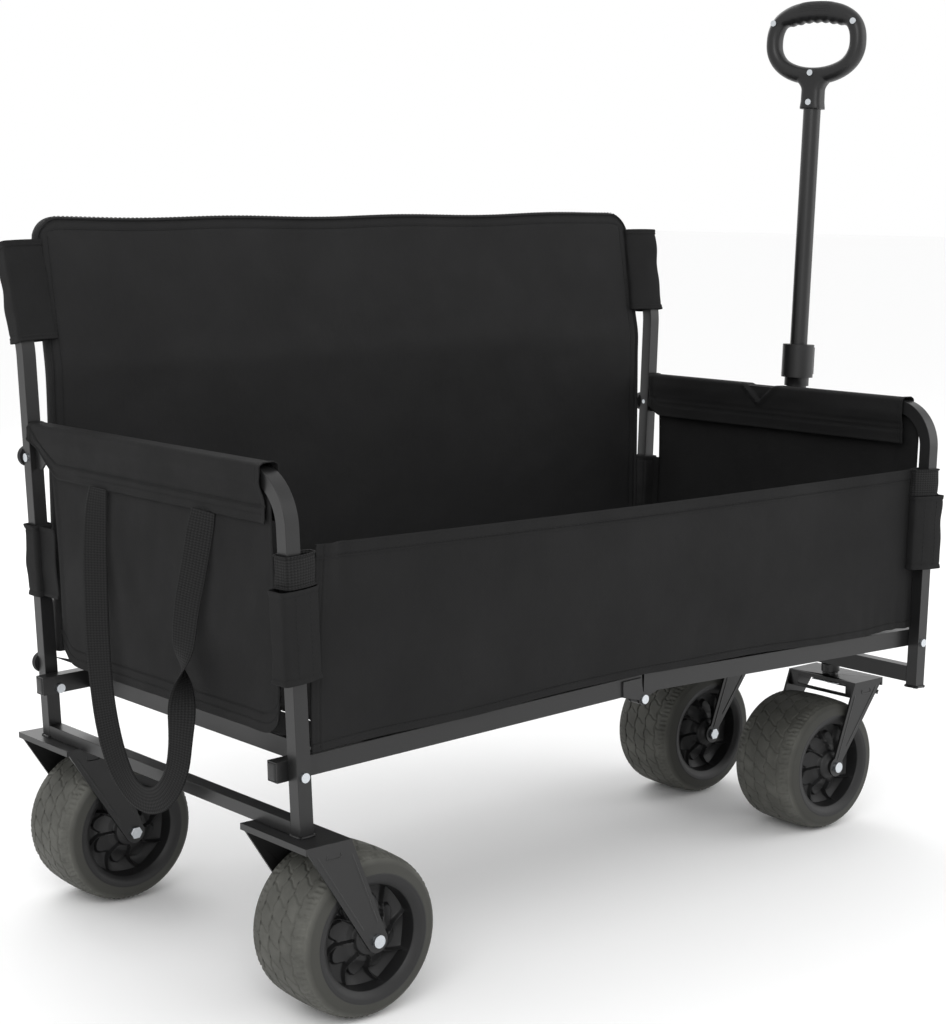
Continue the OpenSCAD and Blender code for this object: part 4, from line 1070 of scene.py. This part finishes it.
def make_floor(sign, cloth):
    """A padded floor board: a rounded slab, quilted by shallow channels, and the cloth from it to the
    end panel."""
    name = END_NAME[sign]
    body = name + "_arms"
    length, half = 0.4053, 0.2485

    def on_arm(along, across, up):
        run = along * math.cos(RAIL_SLOPE) - up * math.sin(RAIL_SLOPE)
        rise = along * math.sin(RAIL_SLOPE) + up * math.cos(RAIL_SLOPE)
        return vec(END[sign][0] - sign * run, across, REAR[2] + rise)

    u = rows_between((0, 0.03, 0.002), (0.03, length - 0.03, 0.006), (length - 0.03, length, 0.002))[:,
            None]
    v = rows_between((-half, -half + 0.03, 0.002), (-half + 0.03, half - 0.03, 0.006),
                     (half - 0.03, half, 0.002))[None, :]
    inset = np.minimum(np.minimum(u, length - u), half - np.abs(v))
    crown = 0.0032 * np.sqrt(np.clip(inset / 0.005, 0, 1)) * (1 + 0.06 * step(inset, 0.0, 0.08))
    channels = groove(np.abs(v) - 0.085, 0.006) + groove(u - length / 2, 0.006)
    crown = crown - np.clip(channels, 0, 1) * 0.0012 * step(inset, 0, 0.01)
    middle = 0.016 + 0.001 + 0.0035
    top = on_arm(0.0925 + u, v + 0 * u, middle + crown + folds(u, v, 61, 2.0, 9.0) * 0.00025)
    under = on_arm(0.0925 + u, v + 0 * u, middle - crown)
    shape = Shape()
    shape.grid(top)
    shape.grid(under)
    for pick in (lambda g: g[0], lambda g: g[-1], lambda g: g[:, 0], lambda g: g[:, -1]):
        t = np.linspace(0, 1, 3)[:, None, None]
        shape.grid(pick(top)[None] * (1 - t) + pick(under)[None] * t)
    board = piece(name + "_floor_pad", shape.mesh(name + "_floor_pad", 60.0), "floor_padding", body,
                  name + "_floor_board")
    t = np.linspace(0, 1, 26)[:, None]
    w = np.linspace(-0.236, 0.236, 90)[None, :]
    start, end = at_end(sign, 0.002, w, 0.0385), on_arm(0.0915, w, 0.0185)
    sag = -0.004 * np.sin(math.pi * t) + folds(t * 0.1, w, 63, 3.0, 12.0) * 0.0006 * np.sin(math.pi * t)
    strip = start * (1 - t[..., None]) + end * t[..., None]
    strip[..., 2] += sag
    shape = Shape()
    shape.grid(strip)
    made = piece(name + "_floor_edge_cloth", shape.mesh(name + "_floor_edge_cloth", outward=False),
                 "floor_padding", None)
    thicken(made, cloth.thickness)
    pivot_point = END[sign]
    start_at = pivot_point - np.array([sign * 0.001, 0, 0])
    end_at = pivot_point - np.array([sign * 0.080, 0, 0])
    pair = (END_BODY[sign], body)
    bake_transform(made, pair[0], pair[1], start=tuple(start_at), end=tuple(end_at))


# ---------------------------------------------------------------- steel details


def weld_bead(shape, centre, half_a, half_b, axis_a, axis_b, radius=0.0016, waves=70):
    """A closed weld: a small tube round a rounded rectangle, its radius rippled by a sine wave."""
    ring = round_section(half_a, half_b, 120, 9.0)
    line = centre + ring[:, :1] * axis_a + ring[:, 1:] * axis_b
    along = unit(np.roll(line, -1, axis=0) - np.roll(line, 1, axis=0))
    normal = np.cross(axis_a, axis_b)
    across = np.cross(along, normal)
    girth = radius * (1 + 0.16 * np.sin(np.linspace(0, 2 * math.pi * waves, 120, endpoint=False)))[:, None,
            None]
    circle = round_section(1.0, 1.0, 8)
    rings = line[:, None] + girth * (circle[None, :, :1] * across[:, None] + circle[None, :, 1:] * normal)
    shape.grid(rings, round_rows=True, round_columns=True)


def raised_rib(shape, line, normal, width, height):
    """A pressed rib: a low rounded ridge along a line on a plate, tapering to nothing at both ends."""
    along = unit(np.gradient(line, axis=0))
    across = unit(np.cross(along, np.broadcast_to(normal, along.shape)))
    t = np.linspace(-1, 1, 9)
    fade = np.sin(math.pi * np.clip(np.linspace(0, 1, len(line)) * 8, 0, 0.5)) * np.sin(
        math.pi * np.clip((1 - np.linspace(0, 1, len(line))) * 8, 0, 0.5))
    bulge = np.cos(t * math.pi / 2)[None, :] * height * fade[:, None] - 0.0002
    top = line[:, None] + across[:, None] * (t * width / 2)[None, :,
                                                            None] + np.asarray(normal) * bulge[..., None]
    under = line[:, None] + across[:, None] * (t * width / 2)[None, :, None] - np.asarray(normal) * 0.0006
    shape.grid(np.concatenate([top, under[:, ::-1]], axis=1), round_columns=True)
    shape.disc(np.concatenate([top, under[:, ::-1]], axis=1)[0])
    shape.disc(np.concatenate([top, under[:, ::-1]], axis=1)[-1])


def leg_ribs(shape, plate_x0, plate_x1, plate_z, axle, y, normal):
    """The pressed border and small window of a stamped wheel leg: raised ribs that run inside both of
    its edges."""
    for top_x, foot in ((plate_x0, (-0.0113, -0.0065)), (plate_x1, (0.0113, 0.0065))):
        start = np.array([top_x, y, plate_z - 0.0015])
        end = np.array([axle[0] + foot[0], y, axle[2] + foot[1]])
        centre_top = np.array([(plate_x0 + plate_x1) / 2, y, plate_z])
        along = unit(end - start)
        inward = (centre_top - start) - along * np.dot(centre_top - start, along)
        share = np.linspace(0.10, 0.86, 40)[:, None]
        raised_rib(shape, start + (end - start) * share + unit(inward) * 0.0058, normal, 0.0032, 0.0010)
    middle = (plate_x0 + plate_x1) / 2 + (0.006 if axle[0] > plate_x1 else -0.006)
    w, h, top = 0.0080, 0.0058, plate_z - 0.0105
    window = [(middle - w, y, top), (middle - w, y, top - h), (middle + w, y, top - h),
              (middle + w, y, top)]
    raised_rib(shape, smooth_line(window, 8), normal, 0.0018, 0.0010)


def make_steel_details():
    """Welds at the feet of the posts, pressed ribs on the wheel legs and plugs in the rail ends."""
    for sign in (-1, 1):
        welds = Shape()
        x_axis = at_end(sign, 1.0, 0, 0) - at_end(sign, 0, 0, 0)
        y_axis = np.array([0, 1.0, 0])
        foot = {-1: 0.2078, 1: 0.2115}[sign]
        up = (foot - REAR[2]) / math.cos(SPLAY)
        for side in (-1, 1):
            weld_bead(welds, at_end(sign, 0.0, side * HALF_W, up), TUBE + 0.0006, TUBE + 0.0006, x_axis,
                      y_axis)
        name = END_NAME[sign]
        piece(name + "_welds", welds.mesh(name + "_welds"), "powder_coat", END_BODY[sign])
    ribs = Shape()
    for side in (-1, 1):
        axle = pivot("rear_%s_wheel_spin" % ("left" if side > 0 else "right"))
        for face in (-1, 1):
            y = axle[1] + face * (0.0564 + 0.003)
            leg_ribs(ribs, REAR[0] - 0.022, REAR[0] + 0.036, 0.207, axle, y, np.array([0, float(face), 0]))
    piece("rear_bracket_ribs", ribs.mesh("rear_bracket_ribs"), "powder_coat", "rear_frame")
    for side in ("left", "right"):
        ribs = Shape()
        swivel, axle = pivot(side + "_caster_swivel"), pivot("front_%s_wheel_spin" % side)
        for face in (-1, 1):
            y = axle[1] + face * (0.0564 + 0.003)
            leg_ribs(ribs, swivel[0] - 0.018, swivel[0] + 0.040, 0.201, axle, y,
                     np.array([0, float(face), 0]))
        piece("front_%s_fork_ribs" % side, ribs.mesh("front_%s_fork_ribs" % side), "powder_coat",
              side + "_caster")
    for sign in (-1, 1):
        plugs = Shape()
        for side in (-1, 1):
            slope = np.array([-sign * math.cos(RAIL_SLOPE), 0, math.sin(RAIL_SLOPE)])
            rise = np.array([sign * math.sin(RAIL_SLOPE), 0, math.cos(RAIL_SLOPE)])
            centre = END[sign] + np.array([0, side * 0.2445, 0]) - slope * 0.0222 + rise * 0.005
            t = np.linspace(0, 1, 6)[:, None]
            sizes = 1 - 0.55 * t**2
            ring = round_section(1.0, 1.0, 40, 6.0)
            out = ring[None, :, 0] * sizes * 0.0069
            high = ring[None, :, 1] * sizes * 0.0094
            depth = -0.0016 * np.sin(t * math.pi / 2)
            grid = centre + np.array([0, 1.0, 0]) * out[..., None] + rise * high[...,
                    None] + slope * (depth + 0.0006 + 0 * out)[..., None]
            plugs.grid(grid, round_columns=True)
            plugs.disc(grid[-1])
        name = END_NAME[sign]
        piece(name + "_rail_plugs", plugs.mesh(name + "_rail_plugs"), "grip_plastic", name + "_arms")


GRIP_BASE = 0.770
NECK, GRIP_W, GRIP_H = 0.036, 0.148, 0.113


def at_grip(out, y, up):
    """Points of the grip in its own turned frame, up from the foot of its neck."""
    return at_handle(out, y, GRIP_BASE + up, GRIP_TURN)


def remeshed(made, voxel, smooth):
    """Grow a piece's overlapping closed shapes into one skin, then soften it; the result is kept in its
    mesh."""
    grow = made.modifiers.new("skin", "REMESH")
    grow.mode, grow.voxel_size, grow.use_smooth_shade = "VOXEL", voxel, True
    soften = made.modifiers.new("soften", "SMOOTH")
    soften.factor, soften.iterations = 0.5, smooth
    bpy.context.view_layer.update()
    mesh = bpy.data.meshes.new_from_object(made.evaluated_get(bpy.context.evaluated_depsgraph_get()))
    mesh.name = made.data.name + "_moulded"
    made.modifiers.clear()
    made.data = mesh


BAR_RADIUS = 0.0144  # half the height of the grip's top bar
BAR_DEPTH = 0.0128  # half its thickness, front to back
DOT_RADIUS = 0.00085


def make_grip():
    """The D grip: an oval section carried round a flattened ring, thicker at its top bar, on a neck that
    flares into
    it, with finger waves under the bar and rows of small dots on it."""
    t = np.linspace(0, 2 * math.pi, 160, endpoint=False)
    middle_up = NECK + GRIP_H / 2 - 0.002
    top = step(np.sin(t), 0.55, 0.95)
    band = 0.0108 + 0.0036 * top + 0.0008 * step(-np.sin(t), 0.6, 1.0)
    c, s = np.cos(t), np.sin(t)
    power = np.where(s > 0, 2.5, 2.15)
    half_w = GRIP_W / 2 - band
    half_h = GRIP_H / 2 - band
    y, up = half_w * np.sign(c) * np.abs(c) ** (2
                                                / power), middle_up + half_h * np.sign(s) * np.abs(s) ** (2
                                                        / power)
    line = np.stack([y, up], -1)
    along = unit(np.roll(line, -1, axis=0) - np.roll(line, 1, axis=0))
    away = np.stack([along[:, 1], -along[:, 0]], -1)
    ring = round_section(1.0, 1.0, 28, 2.2)
    waves = 0.0011 * np.cos(y * 2 * math.pi / 0.0135) * top
    radial = ring[None, :, 1] * band[:, None] - waves[:, None] * (ring[None, :, 1] < 0) * ring[None, :,
            1] ** 2
    depth = ring[None, :, 0] * BAR_DEPTH
    skin = Shape()
    skin.grid(at_grip(depth + 0 * radial, y[:, None] + away[:, :1] * radial,
                      up[:, None] + away[:, 1:] * radial),
              round_rows=True, round_columns=True)
    rows = np.linspace(0, 0.050, 26)[:, None]
    flare = 0.0165 - 0.0012 * step(rows, 0, 0.012) + 0.0200 * step(rows, 0.026, 0.054)
    outline = round_section(1.0, 1.0, 48, 3.2)
    neck = at_grip(outline[None, :, 0] * (0.0138 - 0.0008 * step(rows, 0, 0.03)),
                   outline[None, :, 1] * flare, rows + 0 * outline[None, :, 0])
    skin.tube(neck)
    grip = piece("moulded_grip", skin.mesh("moulded_grip"), "grip_plastic", "handle_slider",
                 "grip_front_shell", "grip_back_shell")
    remeshed(grip, 0.0011, 5)
    grip.data.materials.clear()
    grip.data.materials.append(FINISH["grip_plastic"])
    dots = Shape()
    t, p = np.linspace(0, 2 * math.pi, 7, endpoint=False)[None, :], np.linspace(0, math.pi / 2, 3)[:, None]
    bar = GRIP_W / 2 - BAR_RADIUS
    for row in range(9):
        angle = 0.10 + row * 0.18
        sine, cosine = math.sin(angle) ** (2 / 2.2), math.cos(angle) ** (2 / 2.2)
        for column in range(20):
            across = (column - 9.5) * 0.0024
            crown = middle_up + (GRIP_H / 2 - BAR_RADIUS) * (1 - abs(across / bar) ** 2.5) ** (1 / 2.5)
            lump = 0.0007 * np.cos(p) - 0.0002 + 0 * t
            side = DOT_RADIUS * np.sin(p) * np.sin(t)
            ahead = DOT_RADIUS * np.sin(p) * np.cos(t)
            for face in (-1, 1):
                dots.grid(at_grip(face
                                  * (BAR_DEPTH * sine + math.sin(angle) * lump + math.cos(angle) * side),
                                  across + face * ahead,
                                  crown + BAR_RADIUS * cosine + math.cos(angle) * lump - math.sin(angle)
                                  * side), round_columns=True)
    piece("grip_dots", dots.mesh("grip_dots"), "grip_plastic", "handle_slider")


# ---------------------------------------------------------------- finished CAD parts


def make_finished_parts(steel):
    """Steel, zinc, rubber and plastic parts: each CAD part with its edges rounded as its maker would."""
    tubes = ("hoop", "backrest_post", "cross_bar", "floor_bar", "left_floor_rail", "right_floor_rail")
    plates = ("rail_bracket", "bumpers", "frame_bolts")
    for end in ("rear", "front"):
        for kind in tubes:
            softened("%s_%s" % (end, kind), steel.edge, 3)
        for kind in plates:
            softened("%s_%s" % (end, kind), steel.stamped_edge * 0.7)
    for name in ("rear_left_wheel_bracket", "rear_right_wheel_bracket", "front_left_caster_fork",
                 "front_right_caster_fork",
                 "handle_bracket", "handle_cradle", "caster_sockets"):
        softened(name, steel.stamped_edge)
    for name in ("front_left_fork_hardware", "front_right_fork_hardware", "rear_axle_bolts",
                 "mid_hinge_rivets",
                 "front_left_brake_lever", "front_right_brake_lever", "grip_screws", "handle_button",
                 "handle_outer_tube",
                 "handle_inner_tube"):
        softened(name, steel.stamped_edge * 0.6)
    softened("handle_collar", 0.0018, 3)


# ---------------------------------------------------------------- operators


class Making:
    """What every maker's button shares: its name in the search list and an undo step."""

    bl_options = {"REGISTER", "UNDO"}


class WAGON_OT_camera(Making, bpy.types.Operator):
    """Place the camera"""

    bl_idname = "wagon.camera"
    bl_label = "Place the camera"

    def execute(self, context):
        make_camera()
        return {"FINISHED"}


class WAGON_OT_strap(Making, bpy.types.Operator):
    """Make the carry strap of ribbed webbing"""

    bl_idname = "wagon.strap"
    bl_label = "Make the carry strap"

    def execute(self, context):
        FINISH.update(make_finishes(context.scene))
        make_strap()
        return {"FINISHED"}


class WAGON_OT_steel(Making, bpy.types.Operator):
    """Round the edges of the steel, zinc, rubber and plastic parts, and add welds, ribs and plugs"""

    bl_idname = "wagon.steel"
    bl_label = "Finish the frame and handle"

    def execute(self, context):
        make_finished_parts(context.scene.wagon_steel)
        make_steel_details()
        make_grip()
        return {"FINISHED"}


class WAGON_OT_wheels(Making, bpy.types.Operator):
    """Make the four treaded tyres and their dished rims"""

    bl_idname = "wagon.wheels"
    bl_label = "Make the wheels"

    def execute(self, context):
        for end in ("rear", "front"):
            for side in ("left", "right"):
                name = "%s_%s" % (end, side)
                make_wheel(name, name + "_wheel_spin", name + "_wheel", context.scene.wagon_wheels)
        return {"FINISHED"}


class WAGON_OT_tub(Making, bpy.types.Operator):
    """Sew the low side, the padded backrest, the ends and the floor"""

    bl_idname = "wagon.tub"
    bl_label = "Sew the tub"

    def execute(self, context):
        cloth = context.scene.wagon_cloth
        make_low_panel(cloth)
        make_backrest(cloth)
        for sign in (-1, 1):
            make_end_cloth(sign, cloth)
            make_tabs(sign)
            make_floor(sign, cloth)
        return {"FINISHED"}


class WAGON_OT_stage(Making, bpy.types.Operator):
    """Lay the pale floor and set the soft lights"""

    bl_idname = "wagon.stage"
    bl_label = "Set the stage"

    def execute(self, context):
        scene = context.scene
        scene.view_settings.view_transform = "Standard"
        world = bpy.data.worlds.new("studio")
        world.use_nodes = True
        world.node_tree.nodes["Background"].inputs["Color"].default_value = (1.0, 1.0, 1.0, 1.0)
        world.node_tree.nodes["Background"].inputs["Strength"].default_value = 1.0
        scene.world = world
        mesh = bpy.data.meshes.new("floor")
        mesh.from_pydata([(-30, -30, -0.0006), (30, -30, -0.0006), (30, 30, -0.0006), (-30, 30, -0.0006)],
                         [], [(0, 1, 2, 3)])
        floor = bpy.data.objects.new("floor", mesh)
        scene.collection.objects.link(floor)
        paint = Paint("pale_floor", Base_Color=(0.97, 0.97, 0.97), Roughness=0.9, Specular_IOR_Level=0.05)
        mesh.materials.append(paint.material)
        lights = (("key", (-2.6, -2.4, 2.6), 2.2, 55.0), ("fill", (2.8, -2.2, 1.6), 2.6, 26.0),
                  ("back", (0.6, 3.2, 2.8), 2.4, 40.0))
        for name, place, size, watts in lights:
            data = bpy.data.lights.new(name, "AREA")
            data.size, data.energy = size, watts
            light = bpy.data.objects.new(name, data)
            light.location = place
            aim = Vector((0, 0, 0.4)) - Vector(place)
            light.rotation_euler = aim.to_track_quat("-Z", "Y").to_euler()
            scene.collection.objects.link(light)
        return {"FINISHED"}


class WAGON_PT_maker(bpy.types.Panel):
    """The maker's buttons and sizes in the sidebar"""

    bl_label = "Folding Camp Wagon"
    bl_idname = "WAGON_PT_maker"
    bl_space_type = "VIEW_3D"
    bl_region_type = "UI"
    bl_category = "Wagon"

    def draw(self, context):
        for operator in MAKERS:
            self.layout.operator(operator.bl_idname)
        for settings in (context.scene.wagon_cloth, context.scene.wagon_wheels, context.scene.wagon_steel):
            box = self.layout.box()
            for key in settings.bl_rna.properties.keys():
                if key not in ("rna_type", "name"):
                    box.prop(settings, key)


MAKERS = (WAGON_OT_camera, WAGON_OT_strap, WAGON_OT_steel, WAGON_OT_wheels, WAGON_OT_tub, WAGON_OT_stage)
CLASSES = (WagonCloth, WagonWheels, WagonSteel, *MAKERS, WAGON_PT_maker)


def register():
    for cls in CLASSES:
        bpy.utils.register_class(cls)
    bpy.types.Scene.wagon_cloth = bpy.props.PointerProperty(type=WagonCloth)
    bpy.types.Scene.wagon_wheels = bpy.props.PointerProperty(type=WagonWheels)
    bpy.types.Scene.wagon_steel = bpy.props.PointerProperty(type=WagonSteel)


def unregister():
    del bpy.types.Scene.wagon_cloth, bpy.types.Scene.wagon_wheels, bpy.types.Scene.wagon_steel
    for cls in reversed(CLASSES):
        bpy.utils.unregister_class(cls)


def main():
    register()
    bpy.ops.wagon.camera()
    bpy.ops.wagon.strap()
    bpy.ops.wagon.steel()
    bpy.ops.wagon.wheels()
    bpy.ops.wagon.tub()
    bpy.ops.wagon.stage()


if __name__ == "__main__":
    main()
